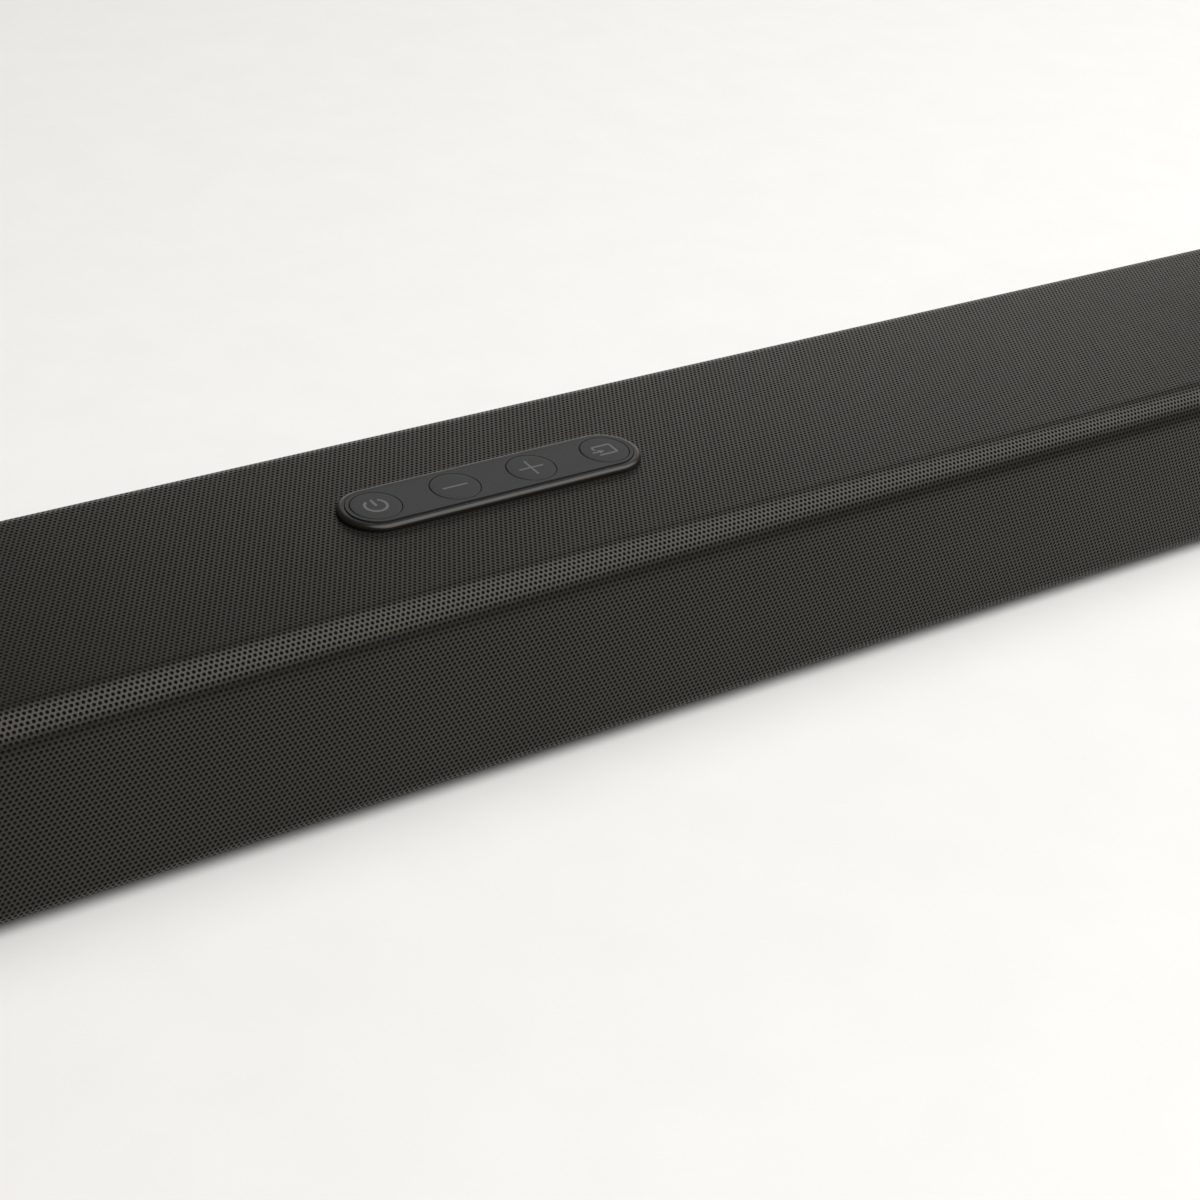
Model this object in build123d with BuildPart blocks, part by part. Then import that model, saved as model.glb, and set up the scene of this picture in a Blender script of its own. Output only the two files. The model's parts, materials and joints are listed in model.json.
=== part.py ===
"""A soundbar: a perforated steel grille wrapped round a two-part moulded cabinet, closed by two end caps.

The bar lies along X, its front faces -Y and its top faces +Z. The origin is the middle of the
footprint, on the surface that the rubber feet stand on. All sizes are in millimetres.
"""

import os

from build123d import *

os.makedirs("parts", exist_ok=True)

# ---------------------------------------------------------------- driving sizes

# The bar as a whole.
bar_length = 900.0
bar_depth = 95.0
body_height = 60.0
foot_height = 2.0
front_top_radius = 10.5
back_top_radius = 7.0
front_bottom_radius = 6.0
back_bottom_radius = 5.0
smallest_radius = 0.5  # where an inner outline has no room for its own corner

# The grille sheet.
grille_thickness = 0.8
grille_seat_gap = 0.2  # between the sheet and the cabinet under it
grille_end_gap = 0.3  # between the sheet's edges and the piece beside them
grille_back_drop = 14.0  # how far the sheet comes down the back, from the top
grille_bottom_return = 13.0  # how far the sheet runs in under the bar, from the front
cloth_thickness = 0.3
cloth_margin = 1.0  # from the cloth's edge to the end of the flat it is glued to

# The cabinet.
cabinet_wall = 2.4
baffle_setback = 5.0  # from the bar's front to the face that the speakers sit on
baffle_thickness = 3.0
baffle_margin = 4.0  # lip left above and below the baffle's recess
split_depth = 68.0  # from the bar's front to the joint between the two cabinet halves
bulkhead_from_end = 250.0  # from the bar's end to the wall that closes each speaker chamber
bulkhead_wall = 2.4
inner_wells_x = 85.0  # from the middle of the bar to the nearest screws
outer_wells_from_end = (165.0, 80.0)
screw_wells_z = (8.0, 37.0)  # above the body's underside
well_radius = 3.5
well_tube_wall = 2.0
well_floor = 3.0  # the thickness that a cabinet screw clamps
boss_radius = 4.0

# The end caps.
cap_length = 14.0
cap_wall = 2.4
cap_edge_radius = 1.8
peg_radius = 2.5
peg_reach = 6.0  # how far a peg goes past the cabinet's end
peg_gap = 0.1
peg_front_y = 18.0  # from the bar's front to the front pegs
peg_back_y = 12.0  # from the bar's back to the rear pegs
peg_spread = 28.0  # between an upper and a lower peg

# The control panel on top.
button_diameter = 14.5
button_pitch = 25.2
button_travel = 0.5
button_gap = 0.25  # round a button in its hole
flange_gap = 0.3  # round a button's flange inside the spigot
button_flange = 0.5  # how far a button's hidden flange stands out past its cap
button_flange_height = 0.8
button_rest_gap = 0.2  # between a button's flange and the plate above it
button_proud = 0.1  # a button's top above the plate
panel_rise = 1.8  # the bezel's rim above the grille
panel_y = 3.5  # middle of the panel, behind the middle of the bar
bezel_edge_radius = 1.2
plate_rim = 1.9  # width of the bezel's rim round the plate
plate_gap = 0.5  # shadow line round the plate, inside the bezel
plate_thickness = 1.1
plate_proud = 0.3  # the plate's top above the bezel's rim
spigot_wall = 1.3
spigot_gap = 0.3  # round the bezel's spigot in the grille and the cabinet
spigot_inset = 1.6  # from the bezel's outside to the spigot's outside
spigot_depth = 6.0  # the spigot's length below the grille's top
bezel_rib = 3.0
bezel_post_radius = 2.5

# The switch board under the control panel.
switch_board_thickness = 1.2
switch_board_margin = 1.0  # the board's edge past the spigot
switch_size = 6.0
switch_height = 3.5
plunger_radius = 1.7
plunger_gap = 0.15
plunger_height = 2.3
plunger_hidden = 1.2  # how much of a plunger is inside its switch at rest
plunger_spare = 0.6  # left below a plunger that is pressed right down
stem_radius = 2.2

# The speakers.
driver_flange = 1.6
driver_wall = 1.2
driver_fit_gap = 0.2  # round a driver in its cut-out
driver_depth = 16.0  # from the baffle's face to the back of the basket
driver_rim = 4.0  # width of the flange round the cut-out, where the screws go
basket_taper = 1.1  # how far the basket narrows towards the magnet
woofer_from_end = 120.0
woofer_cutout_diameter = 37.0
woofer_surround_width = 3.1
tweeter_from_end = 200.0
tweeter_cutout_diameter = 24.0
tweeter_surround_width = 1.6
magnet_height = 9.0
magnet_slot_depth = 7.0
coil_radius = 6.0
coil_wall = 0.4
coil_gap = 0.3  # between the moving coil and the magnet on each side
coil_dip = 4.0  # how far the coil goes into the magnet at rest
cone_thickness = 0.6
woofer_cone_depth = 4.9
tweeter_cone_depth = 1.7
dust_cap_rise = 1.3

# The connector recess in the back, and what is in it.
recess_length = 120.0
recess_height = 24.0
recess_depth = 18.0
recess_wall = 2.0
recess_z = 21.0  # middle, above the body's underside
socket_plate_thickness = 1.6
socket_plate_ear = 6.0
plate_boss_radius = 2.4
socket_gap = 0.15
socket_proud = 4.0  # how far the sockets stand out of the plate
board_standoff = 8.0  # from the socket plate to the amplifier board
board_thickness = 1.6
amplifier_board_length = 147.0
amplifier_board_height = 32.0
board_post_radius = 2.4
board_post_inset = 3.0  # from a board's edge to its posts
power_socket_size = (-45.0, 19.0, 11.5)  # place along X, width and height of each socket's body
video_socket_size = (-15.0, 15.6, 6.4)
optical_socket_size = (8.0, 10.6, 10.6)
usb_socket_size = (28.0, 14.7, 7.3)
audio_socket_size = (47.0, 8.0, 8.0)
inlet_well_radius = 4.0
inlet_pin_pitch = 8.6
inlet_pin_radius = 1.2
inlet_pin_length = 8.0
inlet_depth = 10.0
video_opening = (14.0, 4.8, 9.0)  # width, height and depth
video_tongue = (11.2, 1.1, 7.5)
usb_opening = (12.5, 5.1, 11.0)
usb_tongue = (11.1, 1.9, 9.5)
usb_tongue_rise = 1.2
optical_opening = (8.4, 8.4, 7.0)
audio_bore_radius = 1.8
audio_bore_length = 12.0

# Wall-mounting inserts.
insert_x = 250.0
insert_z = 26.0  # above the body's underside
insert_radius = 2.8
insert_bore_radius = 1.65
insert_length = 8.0
insert_boss_radius = 5.0
insert_boss_floor = 1.5

# The power board and the parts on the two main boards.
power_board_from_bulkhead = 20.0
power_board_y = -8.0
power_board_length = 80.0
power_board_width = 52.0
power_board_lift = 4.0
transformer_size = (24.0, 20.0, 18.0)
transformer_shift = -15.0  # from the board's middle
capacitor_radius = 6.0
capacitor_height = 22.0
capacitor_pitch = 15.0
capacitor_shift = 22.0  # from the board's middle
chip_size = (14.0, 14.0, 1.6)  # width, height and thickness
heatsink_size = (44.0, 24.0, 2.5)  # width, height and thickness of its base
heatsink_fin = (1.2, 9.0)  # thickness and length
heatsink_fins = 8
ribbon_width = 14.0
ribbon_thickness = 0.5
ribbon_bend = 2.0
ribbon_end = 4.0  # the length that is soldered down at the main board
indicator_board_size = (60.0, 14.0)
indicator_board_thickness = 1.2
lamp_size = (3.0, 1.6, 1.0)  # width, height and thickness
lamp_pitch = 7.0
receiver_radius = 2.4
receiver_x = -20.0

# The rubber feet.
foot_length = 36.0
foot_width = 10.0
foot_from_end = 70.0
foot_inset_front = 21.0  # from the bar's front to the middle of the front feet
foot_inset_back = 12.0
foot_recess = 1.0
foot_gap = 0.1
foot_corner_radius = 3.0

# Fasteners, as (shank radius, length under the head, head radius, head height).
cabinet_screw = (1.3, 18.0, 2.9, 2.2)
small_screw = (0.9, 5.0, 1.6, 1.0)
thread_gap = 0.05
pilot_spare = 1.0  # a pilot hole's depth past the screw's tip

# ---------------------------------------------------------------- places worked out from them

front = -bar_depth / 2
back = bar_depth / 2
bottom = foot_height
top = foot_height + body_height
middle = (bottom + top) / 2
cabinet_inset = grille_thickness + grille_seat_gap
cavity_inset = cabinet_inset + cabinet_wall
grille_lowest = top - grille_back_drop
grille_furthest_back = front + grille_bottom_return
baffle_front = front + baffle_setback
baffle_back = baffle_front + baffle_thickness
split = front + split_depth
cabinet_half = bar_length / 2 - cap_length - grille_end_gap
chamber_end = cabinet_half - cabinet_wall
bulkhead_x = bar_length / 2 - bulkhead_from_end
bulkhead_inner = bulkhead_x - bulkhead_wall / 2
bulkhead_outer = bulkhead_x + bulkhead_wall / 2
floor_inside = bottom + cavity_inset
back_inside = back - cavity_inset
pegs = [(y, middle + side * peg_spread / 2) for side in (-1, 1)
        for y in (front + peg_front_y, back - peg_back_y)]
screw_wells_x = [inner_wells_x] + [bar_length / 2 - inset for inset in outer_wells_from_end]
wells = [(side * x, bottom + z) for side in (-1, 1) for x in screw_wells_x for z in screw_wells_z]
shank_radius, shank_length = cabinet_screw[:2]
small_shank_radius, small_shank_length = small_screw[:2]

button_names = ["power", "volume_down", "volume_up", "input"]
button_x = [(i - 1.5) * button_pitch for i in range(len(button_names))]
row_length = (len(button_names) - 1) * button_pitch
flange_radius = button_diameter / 2 + button_flange
panel_end = flange_radius + flange_gap + spigot_wall + spigot_inset
panel_width = 2 * panel_end
panel_top = top + panel_rise
plate_top = panel_top + plate_proud
plate_bottom = plate_top - plate_thickness
button_top = plate_top + button_proud
flange_top = plate_bottom - button_rest_gap
flange_bottom = flange_top - button_flange_height
plate_seat_width = panel_width - 2 * plate_rim
spigot_width = panel_width - 2 * spigot_inset
spigot_inner_width = spigot_width - 2 * spigot_wall
spigot_bottom = top - spigot_depth
panel_cutout_width = spigot_width + 2 * spigot_gap
switch_board_top = spigot_bottom
switch_board_bottom = switch_board_top - switch_board_thickness
switch_top = switch_board_top + switch_height
plunger_bottom = switch_top - plunger_hidden
plunger_top = plunger_bottom + plunger_height
panel_posts = [(side * button_pitch, panel_y) for side in (-1, 1)]

recess_middle = bottom + recess_z
recess_floor = back - recess_depth
socket_plate_front = recess_floor - socket_plate_thickness
board_face = socket_plate_front - board_standoff
board_front = board_face - board_thickness
socket_mouth = recess_floor + socket_proud
plate_screws_x = recess_length / 2 + recess_wall + socket_plate_ear / 2
board_posts = [(sx * (amplifier_board_length / 2 - board_post_inset),
                recess_middle + sz * (amplifier_board_height / 2 - board_post_inset))
               for sx in (-1, 1) for sz in (-1, 1)]
power_board_bottom = floor_inside + power_board_lift
power_board_top = power_board_bottom + board_thickness
power_board_x = -bulkhead_inner + power_board_from_bulkhead + power_board_length / 2
power_posts = [(power_board_x + sx * (power_board_length / 2 - board_post_inset),
                power_board_y + sy * (power_board_width / 2 - board_post_inset))
               for sx in (-1, 1) for sy in (-1, 1)]
indicator_screws_x = indicator_board_size[0] / 2 - board_post_inset
insert_middle = bottom + insert_z
foot_x = bar_length / 2 - foot_from_end
foot_places = [(side * foot_x, y) for side in (-1, 1)
               for y in (front + foot_inset_front, back - foot_inset_back)]


def save(builder, name):
    """Label a finished piece and write it to its own STEP file."""
    builder.part.label = name
    export_step(builder.part, f"parts/{name}.step")


def body_outline(inset):
    """The bar's cross-section, drawn in from its outside by inset, with Y across and Z up."""
    corners = [(-1, 1, front_top_radius), (-1, -1, front_bottom_radius),
               (1, 1, back_top_radius), (1, -1, back_bottom_radius)]
    with BuildSketch() as outline:
        with Locations((0, middle)):
            Rectangle(bar_depth - 2 * inset, body_height - 2 * inset)
        for way_y, way_z, radius in corners:
            corner = outline.vertices().sort_by(lambda v: v.X * way_y + v.Y * way_z)[-1]
            fillet(corner, max(radius - inset, smallest_radius))
    return outline.sketch


def box_between(x, y, z, mode=Mode.ADD):
    """A box in the part being built, from its (low, high) pairs along X, Y and Z."""
    with Locations(((x[0] + x[1]) / 2, (y[0] + y[1]) / 2, (z[0] + z[1]) / 2)):
        Box(x[1] - x[0], y[1] - y[0], z[1] - z[0], mode=mode)


def rods(places, way, radius, length, mode=Mode.ADD):
    """Round rods in the part being built, from each (x, y, z) place and along the direction way."""
    across = (0, 1, 0) if abs(way[0]) == 1 else (1, 0, 0)
    planes = [Plane(origin=place, x_dir=across, z_dir=way) for place in places]
    with Locations(*planes):
        Cylinder(radius, length, align=(Align.CENTER, Align.CENTER, Align.MIN), mode=mode)


def screws(places, way, sizes):
    """Screws in the part being built, each with its head's underside at a place and its tip along way."""
    radius, length, head_radius, head_height = sizes
    out = tuple(-part for part in way)
    rods(places, way, radius, length)
    rods(places, out, head_radius, head_height)


def pill(width):
    """A slot shape on the middle of the control panel, round the row of buttons."""
    with Locations((0, panel_y)):
        SlotCenterToCenter(row_length, width)


# ---------------------------------------------------------------- grille and its cloth

with BuildPart() as grille:
    with BuildSketch(Plane.YZ.offset(-cabinet_half)):
        add(body_outline(0))
        add(body_outline(grille_thickness), mode=Mode.SUBTRACT)
        with Locations(((grille_furthest_back + back) / 2, (grille_lowest + bottom) / 2)):
            Rectangle(back - grille_furthest_back, grille_lowest - bottom, mode=Mode.SUBTRACT)
    extrude(amount=2 * cabinet_half)
    with BuildSketch(Plane.XY.offset(top)):
        pill(panel_cutout_width)
    extrude(amount=-2 * grille_thickness, mode=Mode.SUBTRACT)
save(grille, "grille")

cloth_half = chamber_end - cloth_margin
cloth_front = front + grille_thickness
with BuildPart() as acoustic_cloth:
    box_between((-cloth_half, cloth_half), (cloth_front, cloth_front + cloth_thickness),
                (bottom + front_bottom_radius + cloth_margin, top - front_top_radius - cloth_margin))
save(acoustic_cloth, "acoustic_cloth")

# ---------------------------------------------------------------- cabinet


def cabinet_block():
    """The whole cabinet: it stands back under the grille, is flush elsewhere, and holds three rooms."""
    rooms = [(-chamber_end, -bulkhead_outer), (-bulkhead_inner, bulkhead_inner),
             (bulkhead_outer, chamber_end)]
    flush_front = grille_furthest_back + grille_end_gap
    flush_top = grille_lowest - grille_end_gap
    with BuildPart() as block:
        with BuildSketch(Plane.YZ.offset(-cabinet_half)):
            add(body_outline(0))
            with Locations(((flush_front + back) / 2, (flush_top + bottom) / 2)):
                Rectangle(back - flush_front, flush_top - bottom, mode=Mode.INTERSECT)
            add(body_outline(cabinet_inset))
        extrude(amount=2 * cabinet_half)
        for low, high in rooms:
            with BuildSketch(Plane.YZ.offset(low)):
                add(body_outline(cavity_inset))
                with Locations(((front + baffle_back) / 2, middle)):
                    Rectangle(baffle_back - front, body_height, mode=Mode.SUBTRACT)
            extrude(amount=high - low, mode=Mode.SUBTRACT)
        box_between((-chamber_end, chamber_end), (front, baffle_front),
                    (bottom + baffle_margin, top - baffle_margin), mode=Mode.SUBTRACT)
        with Locations(*[(x, y, bottom) for x, y in foot_places]):
            Box(foot_length + 2 * foot_gap, foot_width + 2 * foot_gap, 2 * foot_recess, mode=Mode.SUBTRACT)
        for side in (-1, 1):
            rods([(side * cabinet_half, y, z) for y, z in pegs], (-side, 0, 0),
                 peg_radius + peg_gap, cabinet_wall, Mode.SUBTRACT)
    return block.part


cabinet_whole = cabinet_block()
woofer_x = bar_length / 2 - woofer_from_end
tweeter_x = bar_length / 2 - tweeter_from_end
drivers = []
for side_name, side in (("left", -1), ("right", 1)):
    drivers.append((f"woofer_{side_name}", side * woofer_x, woofer_cutout_diameter,
                    woofer_surround_width, woofer_cone_depth))
    drivers.append((f"tweeter_{side_name}", side * tweeter_x, tweeter_cutout_diameter,
                    tweeter_surround_width, tweeter_cone_depth))
driver_screw_places = []
for _, x, cutout, _, _ in drivers:
    reach = (cutout + driver_rim) / 2 / 2 ** 0.5
    driver_screw_places += [(x + sx * reach, baffle_front - driver_flange, middle + sz * reach)
                            for sx in (-1, 1) for sz in (-1, 1)]
indicator_screw_places = [(side * indicator_screws_x, baffle_front - indicator_board_thickness, middle)
                          for side in (-1, 1)]
power_screw_places = [(x, y, power_board_top) for x, y in power_posts]
board_screw_places = [(x, board_front, z) for x, z in board_posts]
plate_screw_places = [(side * plate_screws_x, socket_plate_front, recess_middle) for side in (-1, 1)]
panel_screw_places = [(x, y, switch_board_bottom) for x, y in panel_posts]
pilot_radius = small_shank_radius + thread_gap
pilot_depth = small_shank_length + pilot_spare
INTO = (0, 1, 0)
OUT = (0, -1, 0)
UP = (0, 0, 1)
DOWN = (0, 0, -1)

with BuildPart() as front_housing:
    add(cabinet_whole)
    box_between((-cabinet_half, cabinet_half), (split, back), (bottom, top), mode=Mode.SUBTRACT)
    rods([(x, baffle_back, z) for x, z in wells], INTO, boss_radius, split - baffle_back)
    rods([(x, split, z) for x, z in wells], OUT, shank_radius + thread_gap,
         shank_length - well_floor + pilot_spare, Mode.SUBTRACT)
    for _, x, cutout, _, _ in drivers:
        rods([(x, baffle_front, middle)], INTO, cutout / 2, baffle_thickness, Mode.SUBTRACT)
    rods(driver_screw_places + indicator_screw_places, INTO, pilot_radius, pilot_depth, Mode.SUBTRACT)
    rods([(x, y, floor_inside) for x, y in power_posts], UP, board_post_radius, power_board_lift)
    rods(power_screw_places, DOWN, pilot_radius, pilot_depth, Mode.SUBTRACT)
    with BuildSketch(Plane.XY.offset(top)):
        pill(panel_cutout_width)
    extrude(amount=-2 * cavity_inset, mode=Mode.SUBTRACT)
save(front_housing, "front_housing")

with BuildPart() as rear_housing:
    add(cabinet_whole)
    box_between((-cabinet_half, cabinet_half), (front, split), (bottom, top), mode=Mode.SUBTRACT)
    rods([(x, split, z) for x, z in wells], INTO, well_radius + well_tube_wall, back_inside - split)
    rods([(x, split, z) for x, z in wells], INTO, shank_radius + thread_gap, well_floor, Mode.SUBTRACT)
    rods([(x, split + well_floor, z) for x, z in wells], INTO, well_radius, recess_depth + bar_depth,
         Mode.SUBTRACT)
    rods([(x, board_face, z) for x, z in board_posts], INTO, board_post_radius, back_inside - board_face)
    rods([(side * plate_screws_x, recess_floor, recess_middle) for side in (-1, 1)], INTO,
         plate_boss_radius, back_inside - recess_floor)
    tunnel_half = recess_length / 2 + recess_wall
    tunnel_rise = recess_height / 2 + recess_wall
    box_between((-tunnel_half, tunnel_half), (recess_floor, back_inside),
                (recess_middle - tunnel_rise, recess_middle + tunnel_rise))
    box_between((-recess_length / 2, recess_length / 2), (recess_floor, back),
                (recess_middle - recess_height / 2, recess_middle + recess_height / 2), mode=Mode.SUBTRACT)
    rods(board_screw_places + plate_screw_places, INTO, pilot_radius, pilot_depth, Mode.SUBTRACT)
    rods([(side * insert_x, back, insert_middle) for side in (-1, 1)], OUT, insert_boss_radius,
         insert_length + insert_boss_floor)
    rods([(side * insert_x, back, insert_middle) for side in (-1, 1)], OUT, insert_radius, insert_length,
         Mode.SUBTRACT)
save(rear_housing, "rear_housing")

# ---------------------------------------------------------------- end caps, feet and inserts

for side_name, side in (("left", -1), ("right", 1)):
    cap_mouth = side * (bar_length / 2 - cap_length)
    with BuildPart() as end_cap:
        with BuildSketch(Plane.YZ.offset(cap_mouth)):
            add(body_outline(0))
        extrude(amount=side * cap_length)
        outer_face = end_cap.faces().sort_by(Axis.X)[0 if side < 0 else -1]
        fillet(outer_face.edges(), cap_edge_radius)
        with BuildSketch(Plane.YZ.offset(cap_mouth)):
            add(body_outline(cap_wall))
        extrude(amount=side * (cap_length - cap_wall), mode=Mode.SUBTRACT)
        rods([(side * (bar_length / 2 - cap_wall), y, z) for y, z in pegs], (-side, 0, 0), peg_radius,
             cap_length - cap_wall + grille_end_gap + peg_reach)
    save(end_cap, f"end_cap_{side_name}")

with BuildPart() as rubber_feet:
    with BuildSketch(Plane.XY):
        with Locations(*foot_places):
            RectangleRounded(foot_length, foot_width, foot_corner_radius)
    extrude(amount=foot_height + foot_recess)
save(rubber_feet, "rubber_feet")

with BuildPart() as wall_inserts:
    insert_places = [(side * insert_x, back, insert_middle) for side in (-1, 1)]
    rods(insert_places, OUT, insert_radius, insert_length)
    rods(insert_places, OUT, insert_bore_radius, insert_length, Mode.SUBTRACT)
save(wall_inserts, "wall_inserts")

# ---------------------------------------------------------------- control panel

with BuildPart() as panel_bezel:
    with BuildSketch(Plane.XY.offset(top)):
        pill(panel_width)
    extrude(amount=panel_rise)
    fillet(panel_bezel.faces().sort_by(Axis.Z)[-1].edges(), bezel_edge_radius)
    with BuildSketch(Plane.XY.offset(top)):
        pill(spigot_width)
    extrude(amount=-spigot_depth)
    with BuildSketch(Plane.XY.offset(plate_bottom)):
        pill(plate_seat_width)
    extrude(amount=panel_rise, mode=Mode.SUBTRACT)
    with BuildSketch(Plane.XY.offset(spigot_bottom)):
        pill(spigot_inner_width)
    extrude(amount=spigot_depth + panel_rise, mode=Mode.SUBTRACT)
    for x, y in panel_posts:
        box_between((x - bezel_rib / 2, x + bezel_rib / 2),
                    (y - spigot_inner_width / 2, y + spigot_inner_width / 2), (spigot_bottom, top))
    rods([(x, y, spigot_bottom) for x, y in panel_posts], UP, bezel_post_radius, spigot_depth)
    rods(panel_screw_places, UP, pilot_radius, pilot_depth, Mode.SUBTRACT)
save(panel_bezel, "panel_bezel")

with BuildPart() as panel_plate:
    with BuildSketch(Plane.XY.offset(plate_bottom)):
        pill(plate_seat_width - 2 * plate_gap)
        with Locations(*[(x, panel_y) for x in button_x]):
            Circle(button_diameter / 2 + button_gap, mode=Mode.SUBTRACT)
    extrude(amount=plate_thickness)
save(panel_plate, "panel_plate")

for name, x in zip(button_names, button_x):
    with BuildPart() as button:
        rods([(x, panel_y, flange_top)], UP, button_diameter / 2, button_top - flange_top)
        rods([(x, panel_y, flange_top)], DOWN, flange_radius, button_flange_height)
        rods([(x, panel_y, flange_bottom)], DOWN, stem_radius, flange_bottom - plunger_top)
    save(button, f"button_{name}")
    with BuildPart() as plunger:
        rods([(x, panel_y, plunger_bottom)], UP, plunger_radius, plunger_height)
    save(plunger, f"plunger_{name}")

with BuildPart() as switch_board:
    with BuildSketch(Plane.XY.offset(switch_board_bottom)):
        pill(spigot_width + 2 * switch_board_margin)
        with Locations(*panel_posts):
            Circle(pilot_radius, mode=Mode.SUBTRACT)
    extrude(amount=switch_board_thickness)
save(switch_board, "switch_board")

with BuildPart() as tact_switches:
    for x in button_x:
        box_between((x - switch_size / 2, x + switch_size / 2),
                    (panel_y - switch_size / 2, panel_y + switch_size / 2), (switch_board_top, switch_top))
    rods([(x, panel_y, switch_top) for x in button_x], DOWN, plunger_radius + plunger_gap,
         plunger_hidden + button_travel + plunger_spare, Mode.SUBTRACT)
save(tact_switches, "tact_switches")

# ---------------------------------------------------------------- speakers


def turned(points, x):
    """A round piece on a speaker's axis, from (radius, distance behind the baffle's face) points."""
    section = Plane(origin=(x, baffle_front, middle), x_dir=(1, 0, 0), z_dir=(0, 0, 1))
    with BuildPart() as piece:
        with BuildSketch(section):
            with BuildLine():
                Polyline(*points, close=True)
            make_face()
        revolve(axis=Axis((x, baffle_front, middle), (0, 1, 0)))
    return piece


for name, x, cutout, surround_width, cone_depth in drivers:
    flange = cutout + 2 * driver_rim
    basket_radius = cutout / 2 - driver_fit_gap
    mouth_radius = basket_radius - driver_wall
    magnet_radius = mouth_radius - basket_taper
    cone_radius = mouth_radius - surround_width
    coil_outside = coil_radius + coil_wall
    slot_outside = coil_outside + coil_gap
    slot_inside = coil_radius - coil_gap
    throat = driver_depth - driver_wall
    frame_points = [(flange / 2, -driver_flange), (flange / 2, 0), (basket_radius, 0),
                    (basket_radius, baffle_thickness), (magnet_radius, driver_depth),
                    (slot_outside, driver_depth), (slot_outside, throat),
                    (magnet_radius - driver_wall, throat), (mouth_radius, baffle_thickness),
                    (mouth_radius, -driver_flange)]
    speaker_frame = turned(frame_points, x)
    with BuildPart() as drilled_frame:
        add(speaker_frame.part)
        places = [p for p in driver_screw_places if abs(p[0] - x) < flange / 2]
        rods(places, INTO, pilot_radius, driver_flange, Mode.SUBTRACT)
    save(drilled_frame, f"{name}_frame")
    magnet_back = driver_depth + magnet_height
    magnet_points = [(0, driver_depth), (slot_inside, driver_depth),
                     (slot_inside, driver_depth + magnet_slot_depth),
                     (slot_outside, driver_depth + magnet_slot_depth), (slot_outside, driver_depth),
                     (magnet_radius, driver_depth), (magnet_radius, magnet_back), (0, magnet_back)]
    save(turned(magnet_points, x), f"{name}_magnet")
    coil_top = cone_depth + cone_thickness
    coil_end = driver_depth + coil_dip
    cone_points = [(cone_radius, 0), (cone_radius, cone_thickness), (coil_outside, coil_top),
                   (coil_outside, coil_end), (coil_radius, coil_end),
                   (coil_radius, coil_top), (0, coil_top - dust_cap_rise),
                   (0, cone_depth - dust_cap_rise), (coil_radius, cone_depth)]
    save(turned(cone_points, x), f"{name}_cone")
    surround_points = [(cone_radius, 0), (mouth_radius, 0), (mouth_radius, cone_thickness),
                       (cone_radius, cone_thickness)]
    save(turned(surround_points, x), f"{name}_surround")

# ---------------------------------------------------------------- boards


def plain_box(x, y, z):
    """A piece that is one box, from its (low, high) pairs."""
    with BuildPart() as piece:
        box_between(x, y, z)
    return piece


with BuildPart() as socket_plate:
    plate_half = recess_length / 2 + recess_wall + socket_plate_ear
    box_between((-plate_half, plate_half), (socket_plate_front, recess_floor),
                (recess_middle - tunnel_rise, recess_middle + tunnel_rise))
    for x, width, height in (power_socket_size, video_socket_size, optical_socket_size,
                             usb_socket_size, audio_socket_size):
        box_between((x - width / 2 - socket_gap, x + width / 2 + socket_gap),
                    (socket_plate_front, recess_floor),
                    (recess_middle - height / 2 - socket_gap, recess_middle + height / 2 + socket_gap),
                    mode=Mode.SUBTRACT)
    rods(plate_screw_places, INTO, pilot_radius, socket_plate_thickness, Mode.SUBTRACT)
save(socket_plate, "socket_plate")


def socket_body(place):
    """A socket's plain body, from the amplifier board's face to its mouth in the recess."""
    x, width, height = place
    box_between((x - width / 2, x + width / 2), (board_face, socket_mouth),
                (recess_middle - height / 2, recess_middle + height / 2))


def socket_opening(x, size, mode=Mode.SUBTRACT, rise=0.0, start=0.0):
    """A box on a socket's axis, from (width, height, depth), measured in from its mouth."""
    width, height, depth = size
    box_between((x - width / 2, x + width / 2), (socket_mouth - start - depth, socket_mouth - start),
                (recess_middle + rise - height / 2, recess_middle + rise + height / 2), mode=mode)


with BuildPart() as power_socket:
    socket_body(power_socket_size)
    inlet_x = power_socket_size[0]
    inlet_pins = [inlet_x + side * inlet_pin_pitch / 2 for side in (-1, 1)]
    rods([(x, socket_mouth, recess_middle) for x in inlet_pins], OUT, inlet_well_radius, inlet_depth,
         Mode.SUBTRACT)
    socket_opening(inlet_x, (inlet_pin_pitch, 2 * inlet_well_radius, inlet_depth))
    rods([(x, socket_mouth - inlet_depth, recess_middle) for x in inlet_pins], INTO, inlet_pin_radius,
         inlet_pin_length)
save(power_socket, "power_socket")

with BuildPart() as video_socket:
    socket_body(video_socket_size)
    video_x = video_socket_size[0]
    socket_opening(video_x, video_opening)
    socket_opening(video_x, video_tongue, Mode.ADD, start=video_opening[2] - video_tongue[2])
save(video_socket, "video_socket")

with BuildPart() as optical_socket:
    socket_body(optical_socket_size)
    socket_opening(optical_socket_size[0], optical_opening)
save(optical_socket, "optical_socket")

with BuildPart() as usb_socket:
    socket_body(usb_socket_size)
    usb_x = usb_socket_size[0]
    socket_opening(usb_x, usb_opening)
    socket_opening(usb_x, usb_tongue, Mode.ADD, usb_tongue_rise, usb_opening[2] - usb_tongue[2])
save(usb_socket, "usb_socket")

with BuildPart() as audio_socket:
    socket_body(audio_socket_size)
    rods([(audio_socket_size[0], socket_mouth, recess_middle)], OUT, audio_bore_radius, audio_bore_length,
         Mode.SUBTRACT)
save(audio_socket, "audio_socket")

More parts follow.
